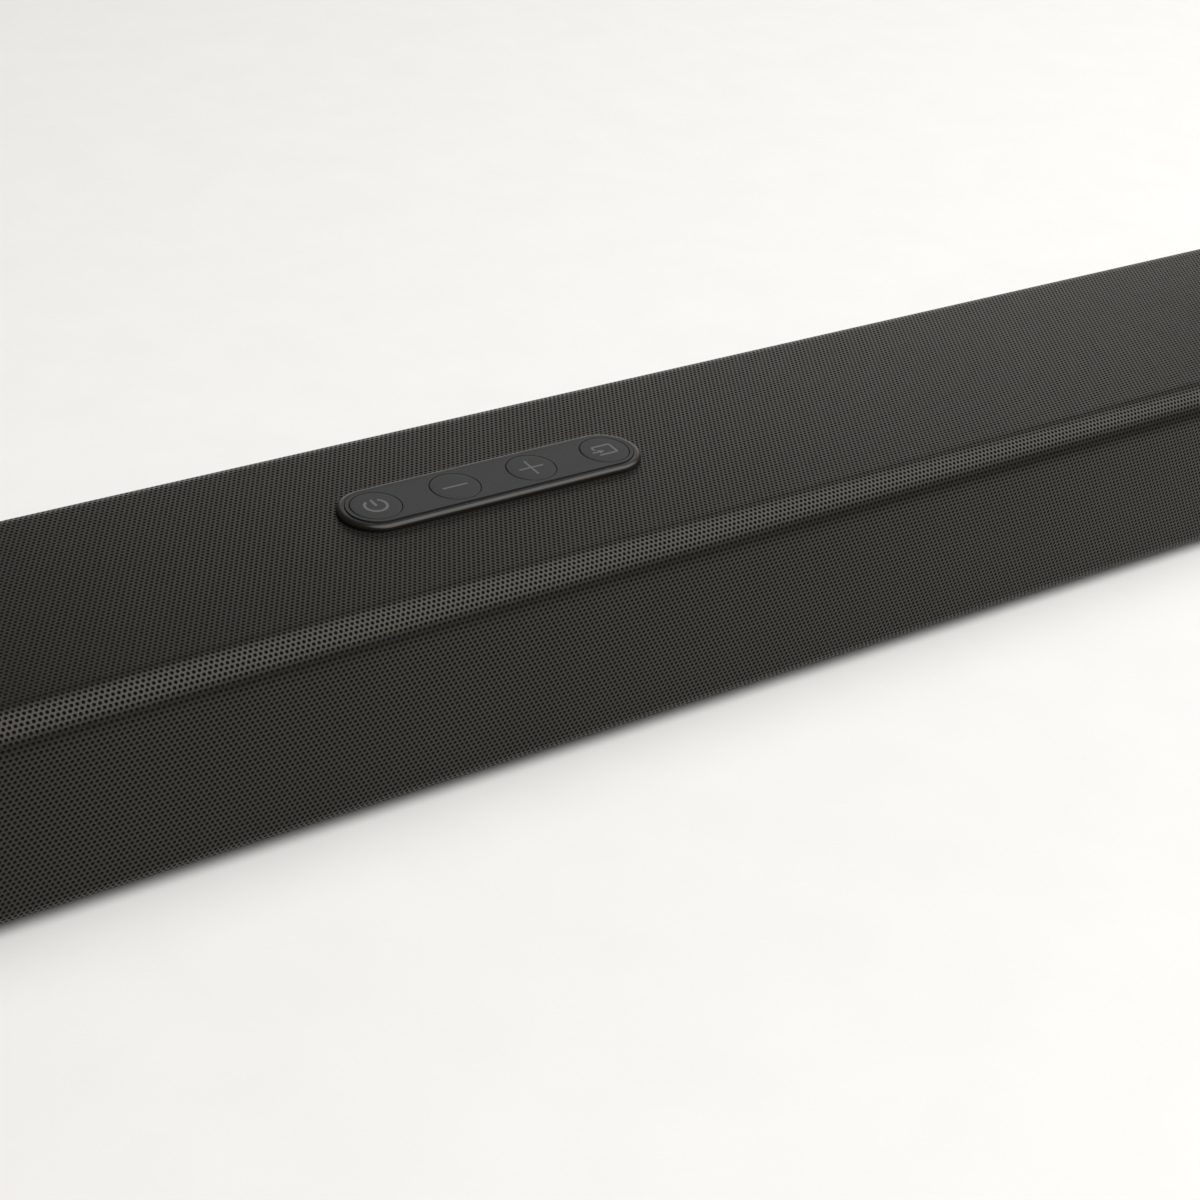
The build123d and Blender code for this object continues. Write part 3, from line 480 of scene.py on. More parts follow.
def perforated_band(number, first_row, rows, low, high, row_zero):
    """One closed strip of the sheet, as points and face sets. The holes lie on a grid of equal
    triangles: row j is at row_zero + j * pitch * sin 60, and odd rows are half a pitch along. Each
    hole has six corners and goes down to a point; flats of neighbouring holes are joined by quads, and
    the three-sided spaces between holes by triangles. Straight edges close the strip's sides and ends."""
    s = sizes()
    pitch = s.hole_pitch
    half_length = (GRILLE_HIGH.x - GRILLE_LOW.x) / 2
    columns = int((2 * half_length - 2 * END_MARGIN * pitch) / pitch)
    j = np.arange(first_row, first_row + rows)
    odd = j % 2
    x = (np.arange(columns) - (columns - 1) / 2)[None] * pitch + (odd[:, None] - 0.5) * pitch / 2
    along = np.broadcast_to((row_zero + j * pitch * math.sin(math.pi / 3))[:, None], x.shape)
    angle = np.radians(30 + 60 * np.arange(6))
    ring_x = x[..., None] + s.hole_radius * np.cos(angle)
    ring_s = along[..., None] + s.hole_radius * np.sin(angle)
    k = np.arange(rows * columns * 6).reshape(rows, columns, 6)
    tip = k.size + np.arange(rows * columns).reshape(rows, columns)
    flat_x = [ring_x.ravel(), x.ravel()]
    flat_s = [ring_s.ravel(), along.ravel()]
    depth = [np.zeros(k.size), np.full(tip.size, s.hole_depth)]
    count = k.size + tip.size

    def more(new_x, new_s, new_depth=0.0):
        """Adds points and gives their numbers."""
        nonlocal count
        new_x, new_s = np.broadcast_arrays(np.asarray(new_x, float), np.asarray(new_s, float))
        flat_x.append(new_x.ravel())
        flat_s.append(new_s.ravel())
        depth.append(np.full(new_x.size, new_depth))
        count += new_x.size
        return np.arange(count - new_x.size, count).reshape(new_x.shape)

    # The pits, and the sheet's outside between the holes.
    turn = np.roll(np.arange(6), -1)
    pits = np.stack([k, k[..., turn], np.broadcast_to(tip[..., None], k.shape)], -1).reshape(-1, 3)
    quads = [np.stack([k[:, :-1, 5], k[:, 1:, 3], k[:, 1:, 2], k[:, :-1, 0]], -1).reshape(-1, 4)]
    tris = []
    for r in range(rows - 1):
        low_row, high_row = k[r], k[r + 1]
        if odd[r]:
            a_ur, b_ur = low_row[:-1], high_row[1:]
            a_ul, b_ul = low_row, high_row
            up = (low_row[:-1], low_row[1:], high_row[1:])
            down = (low_row[:-1], high_row[:-1], high_row[1:])
        else:
            a_ur, b_ur = low_row, high_row
            a_ul, b_ul = low_row[1:], high_row[:-1]
            up = (low_row[:-1], low_row[1:], high_row[:-1])
            down = (low_row[1:], high_row[:-1], high_row[1:])
        quads.append(np.stack([a_ur[:, 0], b_ur[:, 4], b_ur[:, 3], a_ur[:, 1]], 1))
        quads.append(np.stack([a_ul[:, 1], b_ul[:, 5], b_ul[:, 4], a_ul[:, 2]], 1))
        tris.append(np.stack([up[0][:, 0], up[1][:, 2], up[2][:, 4]], 1))
        tris.append(np.stack([down[0][:, 1], down[2][:, 3], down[1][:, 5]], 1))
    tris = np.concatenate(tris)

    # The outside from the first and last rows to the strip's long edges.
    low_path = k[0][:, [3, 4, 5]].ravel()
    high_path = k[-1][:, [2, 1, 0]].ravel()
    all_x = np.concatenate(flat_x)
    low_edge = more(all_x[low_path], low)
    high_edge = more(all_x[high_path], high)
    quads.append(np.stack([low_edge[:-1], low_edge[1:], low_path[1:], low_path[:-1]], 1))
    quads.append(np.stack([high_path[:-1], high_path[1:], high_edge[1:], high_edge[:-1]], 1))

    # The outside from the first and last holes of each row to the sheet's ends.
    left = [low_edge[0]]
    right = [low_edge[-1]]
    for r in range(rows):
        left_corners = [3, 2] if odd[r] else [4, 3, 2, 1]
        right_corners = [4, 5, 0, 1] if odd[r] else [5, 0]
        if r == 0:
            left_corners = left_corners[left_corners.index(3):]
            right_corners = right_corners[right_corners.index(5):]
        if r == rows - 1:
            left_corners = left_corners[:left_corners.index(2) + 1]
            right_corners = right_corners[:right_corners.index(0) + 1]
        left += list(k[r, 0, left_corners])
        right += list(k[r, -1, right_corners])
    left = np.array(left + [high_edge[0]])
    right = np.array(right + [high_edge[-1]])
    all_s = np.concatenate(flat_s)
    left_edge = more(-half_length, all_s[left])
    right_edge = more(half_length, all_s[right])
    quads.append(np.stack([left_edge[:-1], left[:-1], left[1:], left_edge[1:]], 1))
    quads.append(np.stack([right[:-1], right_edge[:-1], right_edge[1:], right[1:]], 1))
    quads = np.concatenate(quads)

    # The plain inside, the strip's edges and its ends.
    low_chain = np.concatenate([left_edge[:1], low_edge, right_edge[:1]])
    high_chain = np.concatenate([left_edge[-1:], high_edge, right_edge[-1:]])
    stations = ring_steps(low, high)
    all_x = np.concatenate(flat_x)
    inside = more(np.broadcast_to(all_x[low_chain], (len(stations), len(low_chain))), stations[:, None],
                  s.sheet_thickness)
    walls = [np.stack([low_chain[1:], low_chain[:-1], inside[0][:-1], inside[0][1:]], 1),
             np.stack([high_chain[:-1], high_chain[1:], inside[-1][1:], inside[-1][:-1]], 1)]
    ends = [np.concatenate([left_edge, inside[::-1, 0]])[None],
            np.concatenate([right_edge[::-1], inside[:, -1]])[None]]
    if number != PANEL_BAND:
        inner = grid_faces(len(stations), len(low_chain), first=inside[0, 0])[:, ::-1]
        all_x, all_s = np.concatenate(flat_x), np.concatenate(flat_s)
        points = wrapped(all_x, all_s, np.concatenate(depth))
        return points, [tris, quads, np.concatenate(walls), inner, *ends, pits], all_x, all_s

    # The strip under the panel: holes nearer than the opening go, and its rim is closed by a wall.
    centre_s = row_zero + (first_row + (rows - 1) / 2) * pitch * math.sin(math.pi / 3)
    away = np.hypot(np.maximum(np.abs(x) - ROW_HALF, 0), along - centre_s)
    gone = away < PANEL_RADIUS - SPIGOT_INSET + OPENING_SPARE
    lost = np.zeros(count, bool)
    lost[k[gone].ravel()] = True
    lost[tip[gone]] = True
    quads, tris, pits = (faces[~lost[faces].any(1)] for faces in (quads, tris, pits))
    edges = np.concatenate([np.stack([faces[:, i], np.roll(faces, -1, 1)[:, i]], 1)
                            for faces in (quads, tris, pits) for i in range(faces.shape[1])])
    code = edges[:, 0].astype(np.int64) * count + edges[:, 1]
    back = edges[:, 1].astype(np.int64) * count + edges[:, 0]
    rim = edges[~np.isin(code, back)]
    rim = rim[(rim < k.size).all(1)]
    loop = chain_loop(rim)
    all_x, all_s = np.concatenate(flat_x), np.concatenate(flat_s)
    inner_loop = more(all_x[loop], all_s[loop], s.sheet_thickness)
    after = np.roll(np.arange(len(loop)), -1)
    walls.append(np.stack([loop[after], loop, inner_loop, inner_loop[after]], 1))
    outer_loop = np.concatenate([inside[0], inside[-1][::-1]])
    all_x, all_s = np.concatenate(flat_x), np.concatenate(flat_s)
    loops = [np.column_stack([all_x[ring], all_s[ring], np.zeros(len(ring))]).tolist()
             for ring in (outer_loop, inner_loop)]
    found = np.array(tessellate_polygon(loops))
    found = np.concatenate([outer_loop, inner_loop])[found]
    ax, ay = all_x[found], all_s[found]
    turning = ((ax[:, 1] - ax[:, 0]) * (ay[:, 2] - ay[:, 0])
               - (ax[:, 2] - ax[:, 0]) * (ay[:, 1] - ay[:, 0]))
    found = np.where((turning > 0)[:, None], found[:, ::-1], found)
    points = wrapped(all_x, all_s, np.concatenate(depth))
    return points, [tris, quads, np.concatenate(walls), found, *ends, pits], all_x, all_s


def without_strays(points, face_sets):
    """The points that the faces use, and the faces renumbered to match."""
    used = np.zeros(len(points), bool)
    for faces in face_sets:
        used[faces.ravel()] = True
    number = np.cumsum(used) - 1
    return points[used], [number[faces] for faces in face_sets], used


def bake_map(piece, x, along):
    """A flat map of the strip: the length runs along U and the width along V."""
    mesh = piece.data
    layer = mesh.uv_layers.new(name="OFBake", do_init=False)
    corner = np.empty(len(mesh.loops), np.int32)
    mesh.loops.foreach_get("vertex_index", corner)
    u = (x - x.min()) / np.ptp(x)
    v = (along - along.min()) / np.ptp(along)
    both = np.stack([u[corner], v[corner]], 1) * (1 - 2 * MAP_MARGIN) + MAP_MARGIN
    layer.uv.foreach_set("vector", both.astype(np.float32).ravel())


class SOUNDBAR_OT_grille(bpy.types.Operator):
    """Makes the perforated sheet, in strips that run the length of the bar"""

    bl_idname = "soundbar.grille"
    bl_label = "Grille"

    def execute(self, context):
        s = sizes()
        row_step = s.hole_pitch * math.sin(math.pi / 3)
        starts = run_lengths()
        first_rows = np.concatenate([[0], np.cumsum(BAND_ROWS)])
        panel_row = first_rows[PANEL_BAND] + (BAND_ROWS[PANEL_BAND] - 1) / 2
        panel_along = starts[TOP_RUN] + PANEL_Y - (FRONT + s.front_top_radius)
        row_zero = panel_along - panel_row * row_step
        edges = row_zero + (first_rows - 0.5) * row_step
        edges[0], edges[-1] = 0.0, starts[-1]
        # The pits take a second finish: painted shade of the open holes, with the black cloth behind them.
        paint, pit_shade_and_cloth = grille_paint(), hole_dark()
        for number, rows in enumerate(BAND_ROWS):
            points, face_sets, x, along = perforated_band(
                number, first_rows[number], rows, edges[number], edges[number + 1], row_zero)
            points, face_sets, used = without_strays(points, face_sets)
            marks = [0] * (len(face_sets) - 1) + [1]
            piece = new_piece(f"grille_strip_{number + 1}", points, face_sets, (paint, pit_shade_and_cloth),
                              replaces=("grille",), marks=marks,
                              sharp=SHEET_CRISP_ANGLE)
            bake_map(piece, x[used], along[used])
        dress("acoustic_cloth", plain_finish("scrim_cloth"))
        return {"FINISHED"}


# ---------------------------------------------------------------- control panel


def pill_path(count=48):
    """Points of the slot-shaped line midway round the panel: two half circles of radius 1 about the end
    buttons, given as (middle x, cosine, sine) so that any offset r is (middle + r cos, r sin)."""
    angle = np.linspace(-math.pi / 2, math.pi / 2, count)
    right = np.stack([np.full(count, ROW_HALF), np.cos(angle), np.sin(angle)], 1)
    left = np.stack([np.full(count, -ROW_HALF), -np.cos(angle), -np.sin(angle)], 1)
    return np.concatenate([right, left])


def round_pill(profile):
    """Points and quads of a closed profile carried round the pill path: each (radius, height) point of
    the profile makes one slot-shaped ring round the row of buttons."""
    path = pill_path()
    profile = np.asarray(profile, float)
    x = path[None, :, 0] + profile[:, None, 0] * path[None, :, 1]
    y = PANEL_Y + profile[:, None, 0] * path[None, :, 2]
    z = np.broadcast_to(profile[:, None, 1], x.shape)
    points = np.stack([x, y, z], -1).reshape(-1, 3)
    return points, grid_faces(len(profile), len(path), round_rows=True, round_columns=True)


def arc(centre, radius, start, end, count):
    """Points on an arc, from start to end in degrees."""
    angle = np.radians(np.linspace(start, end, count))
    return [(centre[0] + radius * math.cos(a), centre[1] + radius * math.sin(a)) for a in angle]


class SOUNDBAR_OT_panel(bpy.types.Operator):
    """Makes the control panel's bezel, as one profile carried round a slot, and dresses its plate"""

    bl_idname = "soundbar.panel"
    bl_label = "Control panel"

    def execute(self, context):
        outer = PANEL_RADIUS
        high = BEZEL_HIGH.z
        lip = sizes().lip_radius
        plate_half = (PLATE_HIGH.y - PLATE_LOW.y) / 2
        rim = plate_half + 0.1 * MM
        soft = 0.25 * MM  # rounding of the rim's inner edge
        chamfer = 0.15 * MM  # of the outside, where it meets the grille
        clear = 0.01 * MM  # between the bezel and the grille
        spigot = outer - SPIGOT_INSET
        inner = spigot - 1.3 * MM
        profile = [(outer - chamfer, TOP + clear), (outer, TOP + clear + chamfer)]
        profile += arc((outer - lip, high - lip), lip, 0, 90, 10)
        profile += arc((rim + soft, high - soft), soft, 90, 180, 4)
        profile += [(rim, PLATE_LOW.z), (inner, PLATE_LOW.z), (inner, BEZEL_LOW.z),
                    (spigot, BEZEL_LOW.z), (spigot, TOP + clear)]
        points, faces = round_pill(profile)
        new_piece("panel_bezel_shell", points, [faces[:, ::-1]], (bezel_plastic(),),
                  replaces=("panel_bezel",))
        dress("panel_plate", frame_finish("panel_plastic"))
        return {"FINISHED"}


def stroke(path, width, closed=False):
    """A flat line of constant width along a path of (x, y) points: left and right edges half the width
    to each side, measured along the corner's bisector."""
    path = np.asarray(path, float)
    before = np.roll(path, 1, 0)
    after = np.roll(path, -1, 0)
    if not closed:
        before[0] = 2 * path[0] - path[1]
        after[-1] = 2 * path[-1] - path[-2]
    into = path - before
    out = after - path
    into /= np.linalg.norm(into, axis=1, keepdims=True)
    out /= np.linalg.norm(out, axis=1, keepdims=True)
    way = into + out
    way /= np.linalg.norm(way, axis=1, keepdims=True)
    normal = np.stack([-way[:, 1], way[:, 0]], 1)
    stretch = width / 2 / np.maximum((normal * np.stack([-into[:, 1], into[:, 0]], 1)).sum(1), 0.5)
    return path + normal * stretch[:, None], path - normal * stretch[:, None], closed


def raised_strokes(strokes, low, high):
    """Points and faces of closed solids that stand on flat lines between two heights."""
    points, quads, first = [], [], 0
    for left, right, closed in strokes:
        count = len(left)
        ring = np.stack([left, right, right, left], 0)
        heights = np.array([high, high, low, low])[:, None]
        block = np.concatenate([ring, np.broadcast_to(heights[..., None], (4, count, 1))], 2)
        points.append(block.reshape(-1, 3))
        quads.append(grid_faces(4, count, round_rows=True, round_columns=closed, first=first))
        if not closed:
            ends = first + np.arange(4) * count
            quads.append(np.stack([ends, ends[::-1] + count - 1])[:, ::-1])
        first += 4 * count
    return np.concatenate(points), np.concatenate(quads)


def symbol_lines(name):
    """The lines of a button's symbol, about the button's middle, in metres."""
    width = sizes().symbol_stroke
    arm = 4.0 * MM
    if name == "power":
        bold = 1.35 * width
        bow = arc((0, 0), 3.15 * MM, 124, 416, 44)
        return [stroke(bow, bold), stroke([(0, -0.3 * MM), (0, 3.3 * MM)], bold)]
    if name == "volume_down":
        return [stroke([(-arm, 0), (arm, 0)], width)]
    if name == "volume_up":
        return [stroke([(-arm, 0), (arm, 0)], width), stroke([(0, width / 2), (0, arm)], width),
                stroke([(0, -arm), (0, -width / 2)], width)]
    wide, tall, corner = 3.0 * MM, 2.4 * MM, 0.45 * MM
    box = [(-wide, 0.6 * MM)]
    box += arc((-wide + corner, tall - corner), corner, 180, 90, 6)
    box += arc((wide - corner, tall - corner), corner, 90, 0, 6)
    box += arc((wide - corner, -tall + corner), corner, 0, -90, 6)
    box += [(-wide, -tall)]
    level, base, tip = -0.5 * MM, -2.3 * MM, -0.3 * MM
    shaft = stroke([(-4.4 * MM, level), (base, level)], width)
    head = (np.array([(base, level + 0.95 * MM), (tip, level + 0.02 * MM)]),
            np.array([(base, level - 0.95 * MM), (tip, level - 0.02 * MM)]), False)
    return [stroke(box, 1.15 * width), shaft, head]


FLANGE_OVERHANG = 0.5 * MM  # of a button's flange past its cap
FLANGE_DEPTH = 0.2 * MM  # from the plate's underside to the flange
FLANGE_HEIGHT = 0.8 * MM
STEM_RADIUS = 2.2 * MM
DISH = 0.02 * MM  # how far the middle of a cap lies below its edge
SYMBOL_ROOT = 0.03 * MM  # from a cap's edge down to the underside of its symbol
SYMBOL_FOOT = 0.022 * MM  # from a cap's edge down to where the symbol's thickness starts


class SOUNDBAR_OT_buttons(bpy.types.Operator):
    """Makes the four push buttons, as turned profiles, and the symbols printed on them"""

    bl_idname = "soundbar.buttons"
    bl_label = "Buttons"

    def execute(self, context):
        s = sizes()
        plastic, ink = frame_finish("panel_plastic"), symbol_ink()
        for name in BUTTONS:
            low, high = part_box(f"button_{name}")
            flange = (high.x - low.x) / 2
            cap = flange - FLANGE_OVERHANG
            edge = s.edge_radius
            flange_top = PLATE_LOW.z - FLANGE_DEPTH
            flange_low = flange_top - FLANGE_HEIGHT
            profile = [(0, low.z), (STEM_RADIUS, low.z), (STEM_RADIUS, flange_low), (flange, flange_low),
                       (flange, flange_top), (cap, flange_top)]
            profile += arc((cap - edge, high.z - edge), edge, 0, 90, 7)
            profile += [(cap / 2, high.z - DISH / 2), (0, high.z - DISH)]
            points, faces = turned(profile, (BUTTON_X[name], PANEL_Y, 0))
            new_piece(f"button_{name}_cap", points, faces, (plastic,), f"button_{name}",
                      (f"button_{name}",))
            points, faces = raised_strokes(symbol_lines(name), high.z - SYMBOL_ROOT,
                                           high.z - SYMBOL_FOOT + s.symbol_height)
            points = points + np.array([BUTTON_X[name], PANEL_Y, 0])
            new_piece(f"button_{name}_symbol", points, [faces], (ink,), f"button_{name}")
            dress(f"plunger_{name}", plain_finish("switch_plastic"))
        return {"FINISHED"}


# ---------------------------------------------------------------- caps, cabinet, feet


CORNER_POINTS = 14  # on each corner of the bar's outline
CAP_WALL = 2.4 * MM
CAP_LENGTH = 14.0 * MM
CAP_CORE = 20.0 * MM  # how far in from the outline the flat of an end is closed
CAP_INNER_CHAMFER = 0.5 * MM
CAP_MOUTH_CHAMFER = 0.25 * MM
LEAST_CORNER = 0.2 * MM
PAD_LENGTH, PAD_WIDTH, PAD_CORNER = 36.0 * MM, 10.0 * MM, 3.0 * MM
PAD_EDGE = 0.6 * MM  # rounding of a foot's lower edge
PAD_POINTS = 32  # round the outline of a foot


def bar_outline(inset):
    """The bar's whole outline drawn in by inset, as (y, z) points: four straight sides joined by quarter
    circles, each with the same number of points, so that outlines of different insets join up."""
    s = sizes()
    corners = [((1, -1), s.back_bottom_radius, -90), ((1, 1), s.back_top_radius, 0),
               ((-1, 1), s.front_top_radius, 90), ((-1, -1), s.front_bottom_radius, 180)]
    half = ((BACK - FRONT) / 2 - inset, (TOP - BOTTOM) / 2 - inset)
    middle = ((BACK + FRONT) / 2, (TOP + BOTTOM) / 2)
    points = []
    for (way_y, way_z), radius, start in corners:
        r = max(radius - inset, LEAST_CORNER)
        centre = (middle[0] + way_y * (half[0] - r), middle[1] + way_z * (half[1] - r))
        points += arc(centre, r, start, start + 90, CORNER_POINTS)
    return np.array(points)


class SOUNDBAR_OT_caps(bpy.types.Operator):
    """Makes the two end caps: the bar's outline, drawn in by each ring's inset, at each ring's place
    along the bar"""

    bl_idname = "soundbar.caps"
    bl_label = "End caps"

    def execute(self, context):
        plastic = cabinet_plastic()
        edge = sizes().cap_edge
        around = 4 * CORNER_POINTS
        for side_name, side in zip(SIDES, (-1, 1)):
            low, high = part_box(f"end_cap_{side_name}")
            end = high.x if side > 0 else -low.x
            floor = end - CAP_WALL
            mouth = end - CAP_LENGTH
            rings = [(floor, CAP_CORE), (floor, CAP_WALL + CAP_INNER_CHAMFER),
                     (floor - CAP_INNER_CHAMFER, CAP_WALL), (mouth, CAP_WALL), (mouth, CAP_MOUTH_CHAMFER),
                     (mouth + CAP_MOUTH_CHAMFER, 0)]
            rings += [(end - edge + edge * math.sin(a), edge - edge * math.cos(a))
                      for a in np.radians(np.linspace(0, 90, 8))]
            rings += [(end, CAP_CORE)]
            points = np.concatenate([np.column_stack([np.full(around, side * x), bar_outline(inset)])
                                     for x, inset in rings])
            faces = grid_faces(len(rings), around, round_columns=True)
            first = np.arange(around)[None]
            last = first + (len(rings) - 1) * around
            sets = [faces[:, ::-1], first, last[:, ::-1]]
            if side > 0:
                sets = [faces_set[:, ::-1] for faces_set in sets]
            new_piece(f"end_cap_{side_name}_shell", points, sets, (plastic,),
                      replaces=(f"end_cap_{side_name}",))
        return {"FINISHED"}


class SOUNDBAR_OT_cabinet(bpy.types.Operator):
    """Dresses the cabinet and makes its rubber feet: a rounded rectangle, drawn in by each ring's inset,
    at each ring's height"""

    bl_idname = "soundbar.cabinet"
    bl_label = "Cabinet and feet"

    def execute(self, context):
        plastic = cabinet_plastic()
        dress("front_housing", plastic)
        dress("rear_housing", plastic)
        low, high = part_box("rubber_feet")
        middles = [(x, y) for x in (low.x + PAD_LENGTH / 2, high.x - PAD_LENGTH / 2)
                   for y in (low.y + PAD_WIDTH / 2, high.y - PAD_WIDTH / 2)]
        dish = low.z + 0.3 * MM
        rings = [(high.z, 2.0 * MM), (high.z, 0), (low.z + PAD_EDGE, 0)]
        rings += [(low.z + PAD_EDGE - PAD_EDGE * math.sin(a), PAD_EDGE - PAD_EDGE * math.cos(a))
                  for a in np.radians(np.linspace(20, 90, 4))]
        rings += [(low.z, 1.6 * MM), (dish, 1.9 * MM), (dish, 3.0 * MM)]
        points, sets, ends = [], [], []
        for number, (x, y) in enumerate(middles):
            for z, inset in rings:
                around = []
                for way_x, way_y, start in ((1, -1, -90), (1, 1, 0), (-1, 1, 90), (-1, -1, 180)):
                    r = max(PAD_CORNER - inset, 0.3 * MM)
                    centre = (x + way_x * (PAD_LENGTH / 2 - inset - r),
                              y + way_y * (PAD_WIDTH / 2 - inset - r))
                    around += arc(centre, r, start, start + 90, PAD_POINTS // 4)
                points.append(np.column_stack([np.array(around), np.full(PAD_POINTS, z)]))
            first = number * len(rings) * PAD_POINTS
            sets.append(grid_faces(len(rings), PAD_POINTS, round_columns=True, first=first)[:, ::-1])
            ends.append(first + np.arange(PAD_POINTS))
            ends.append((first + (len(rings) - 1) * PAD_POINTS + np.arange(PAD_POINTS))[::-1])
        new_piece("rubber_foot_pads", np.concatenate(points), [np.concatenate(sets), np.array(ends)],
                  (frame_finish("foot_rubber"),), replaces=("rubber_feet",))
        return {"FINISHED"}


# ---------------------------------------------------------------- speakers

ROLL_THICKNESS = 0.25 * MM
ROLL_SHRINK = 0.06 * MM  # of the roll's arc, at each side
ROLL_HEIGHT = 1.5 * MM  # the most that a roll stands out
ROLL_POINTS = 12  # on each side of the roll


class SOUNDBAR_OT_speakers(bpy.types.Operator):
    """Makes the rolled surrounds, each a flattened half circle turned round its cone's axis, and dresses
    the cones, frames and magnets"""

    bl_idname = "soundbar.speakers"
    bl_label = "Speakers"

    def execute(self, context):
        for kind in ("woofer", "tweeter"):
            for side_name in SIDES:
                name = f"{kind}_{side_name}"
                dress(f"{name}_frame", plain_finish("driver_frame"))
                dress(f"{name}_magnet", plain_finish("driver_magnet"))
                dress(f"{name}_cone", plain_finish("cone_paper"))
                low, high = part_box(f"{name}_surround")
                cone_low, cone_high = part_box(f"{name}_cone")
                outer = (high.x - low.x) / 2
                inner = (cone_high.x - cone_low.x) / 2
                middle = ((low.x + high.x) / 2, high.y, (low.z + high.z) / 2)
                roll = (outer - inner) / 2
                radius = roll - ROLL_SHRINK
                over = arc(((outer + inner) / 2, 0), radius, 0, 180, ROLL_POINTS)
                under = arc(((outer + inner) / 2, 0), radius - ROLL_THICKNESS, 180, 0, ROLL_POINTS)
                flatten = min(1.0, ROLL_HEIGHT / roll)
                ring = [(r, max(h, 0) * flatten + ROLL_THICKNESS) for r, h in over]
                ring += [(r, max(h, 0) * flatten) for r, h in under]
                ring = np.array(ring)
                cosine, sine = circle(ROUND_SIDES)
                x = middle[0] + ring[:, None, 0] * cosine
                z = middle[2] + ring[:, None, 0] * sine
                y = np.broadcast_to(middle[1] - ring[:, None, 1], x.shape)
                points = np.stack([x, y, z], -1).reshape(-1, 3)
                faces = grid_faces(len(ring), ROUND_SIDES, round_rows=True, round_columns=True)
                new_piece(f"{name}_surround_roll", points, [faces], (plain_finish("surround_rubber"),),
                          replaces=(f"{name}_surround",))
        return {"FINISHED"}


class SOUNDBAR_OT_inside(bpy.types.Operator):
    """Dresses the boards, the sockets and the fasteners"""

    bl_idname = "soundbar.inside"
    bl_label = "Boards, sockets and fasteners"

    def execute(self, context):
        slots = {row["node"]: row["material_slot"] for row in frame["record"]["subparts"]}
        for node, slot in slots.items():
            if slot in PLAIN_FINISHES and node in frame["nodes"]:
                dress(node, plain_finish(slot))
        return {"FINISHED"}


# ---------------------------------------------------------------- stage

FLOOR_REACH = 6.0
WORLD_STRENGTH = 0.08
# Each light: name, place, target, size, watts and colour.
LIGHTS = (
    ("overhead", (0.8, -0.7, 1.9), (0.1, 0, 0), (3.6, 2.6), 84.0, (1, 1, 1)),
    ("back_wall", (2.2, 3.2, 1.0), (0, 0, 0), (3.2, 1.6), 25.0, (1.0, 0.98, 0.95)),
)
CAMERA_PLACE = (-302.4 * MM, FRONT - 415.1 * MM, TOP + 310.0 * MM)
CAMERA_AZIMUTH = math.radians(36.41)  # from +Y towards +X
CAMERA_ELEVATION = math.radians(31.92)  # below the level
CAMERA_ROLL = math.radians(-5.39)
SENSOR_WIDTH = 36.0
CLIP_START = 0.01


def area_light(name, place, target, size, power, colour):
    """A soft rectangular light at a place, turned towards a target."""
    light = bpy.data.lights.new(name, "AREA")
    light.shape = "RECTANGLE"
    light.size, light.size_y = size
    light.energy = power
    light.color = colour
    lamp = bpy.data.objects.new(name, light)
    bpy.context.scene.collection.objects.link(lamp)
    way = np.array(target, float) - np.array(place, float)
    way /= np.linalg.norm(way)
    aside = np.cross(way, (0.0, 0.0, 1.0))
    aside /= np.linalg.norm(aside)
    up = np.cross(aside, way)
    turn = Matrix((aside, up, -way)).transposed()
    lamp.matrix_world = Matrix.Translation(place) @ turn.to_4x4()


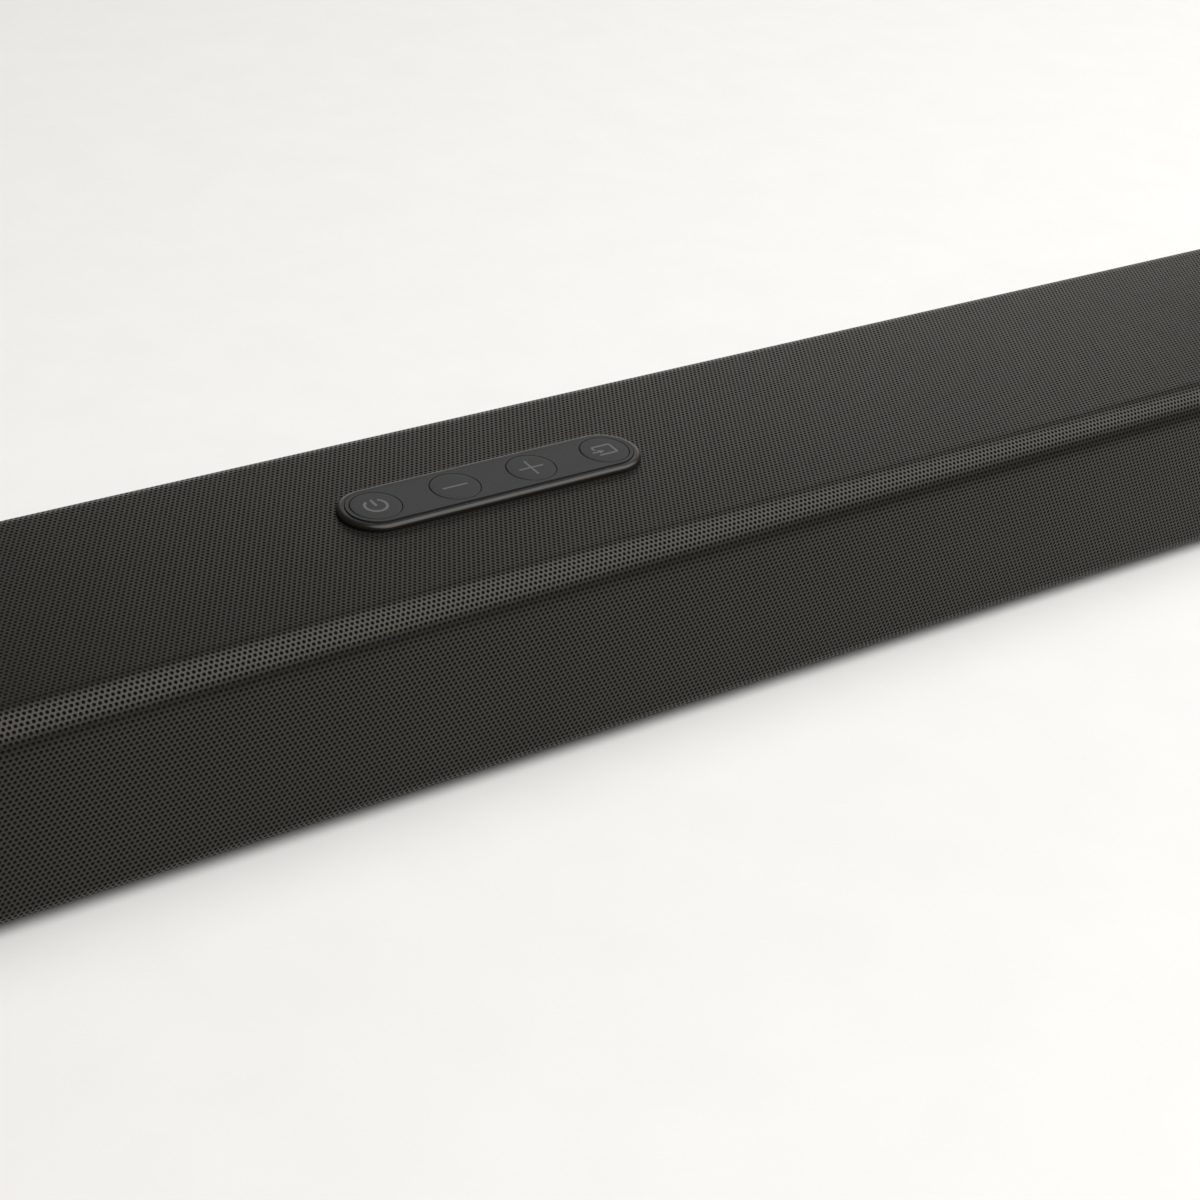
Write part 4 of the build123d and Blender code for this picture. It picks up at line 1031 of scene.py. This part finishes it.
class SOUNDBAR_OT_stage(bpy.types.Operator):
    """Makes the floor, the soft lights and the camera"""

    bl_idname = "soundbar.stage"
    bl_label = "Stage"

    def execute(self, context):
        scene = context.scene
        mesh = bpy.data.meshes.new("floor")
        corners = [(x * FLOOR_REACH, y * FLOOR_REACH, 0) for x, y in ((-1, -1), (1, -1), (1, 1), (-1, 1))]
        mesh.from_pydata(corners, [], [(0, 1, 2, 3)])
        mesh.materials.append(finish_of("floor_paper", colours().floor, rough=0.9, grain=300.0,
                                        relief=0.01 * MM, spread=0.01))
        floor = bpy.data.objects.new("floor", mesh)
        scene.collection.objects.link(floor)

        world = bpy.data.worlds.new("studio")
        scene.world = world
        world.use_nodes = True
        background = world.node_tree.nodes["Background"]
        background.inputs["Color"].default_value = (1.0, 1.0, 1.0, 1)
        background.inputs["Strength"].default_value = WORLD_STRENGTH
        for light in LIGHTS:
            area_light(*light)
        scene.view_settings.view_transform = "Standard"

        east, north = math.sin(CAMERA_AZIMUTH), math.cos(CAMERA_AZIMUTH)
        look = np.array([east * math.cos(CAMERA_ELEVATION), north * math.cos(CAMERA_ELEVATION),
                         -math.sin(CAMERA_ELEVATION)])
        level = np.array([north, -east, 0.0])
        down = np.cross(look, level)
        right = math.cos(CAMERA_ROLL) * level + math.sin(CAMERA_ROLL) * down
        under = -math.sin(CAMERA_ROLL) * level + math.cos(CAMERA_ROLL) * down
        data = bpy.data.cameras.new("camera")
        data.sensor_width = SENSOR_WIDTH
        data.lens = sizes().lens
        data.clip_start = CLIP_START
        camera = bpy.data.objects.new("camera", data)
        scene.collection.objects.link(camera)
        turn = Matrix((right, -under, -look)).transposed()
        camera.matrix_world = Matrix.Translation(CAMERA_PLACE) @ turn.to_4x4()
        scene.camera = camera
        return {"FINISHED"}


# ---------------------------------------------------------------- panel and registration

OPERATORS = (SOUNDBAR_OT_stage, SOUNDBAR_OT_grille, SOUNDBAR_OT_panel, SOUNDBAR_OT_buttons,
             SOUNDBAR_OT_caps, SOUNDBAR_OT_cabinet, SOUNDBAR_OT_speakers, SOUNDBAR_OT_inside)


class SOUNDBAR_PT_panel(bpy.types.Panel):
    """Lists the soundbar's sizes, colours and operators"""

    bl_idname = "SOUNDBAR_PT_panel"
    bl_label = "Soundbar"
    bl_space_type = "VIEW_3D"
    bl_region_type = "UI"
    bl_category = "Soundbar"

    def draw(self, context):
        for group in (context.scene.soundbar_sizes, context.scene.soundbar_colours):
            for name in group.bl_rna.properties.keys():
                if name not in ("rna_type", "name"):
                    self.layout.prop(group, name)
        for operator in OPERATORS:
            self.layout.operator(operator.bl_idname)


CLASSES = (SoundbarSizes, SoundbarColours, *OPERATORS, SOUNDBAR_PT_panel)


def register():
    for item in CLASSES:
        bpy.utils.register_class(item)
    bpy.types.Scene.soundbar_sizes = bpy.props.PointerProperty(type=SoundbarSizes)
    bpy.types.Scene.soundbar_colours = bpy.props.PointerProperty(type=SoundbarColours)


def unregister():
    del bpy.types.Scene.soundbar_sizes
    del bpy.types.Scene.soundbar_colours
    for item in reversed(CLASSES):
        bpy.utils.unregister_class(item)


def main():
    """Builds every piece."""
    register()
    for operator in OPERATORS:
        group, name = operator.bl_idname.split(".")
        getattr(getattr(bpy.ops, group), name)()


if __name__ == "__main__":
    main()
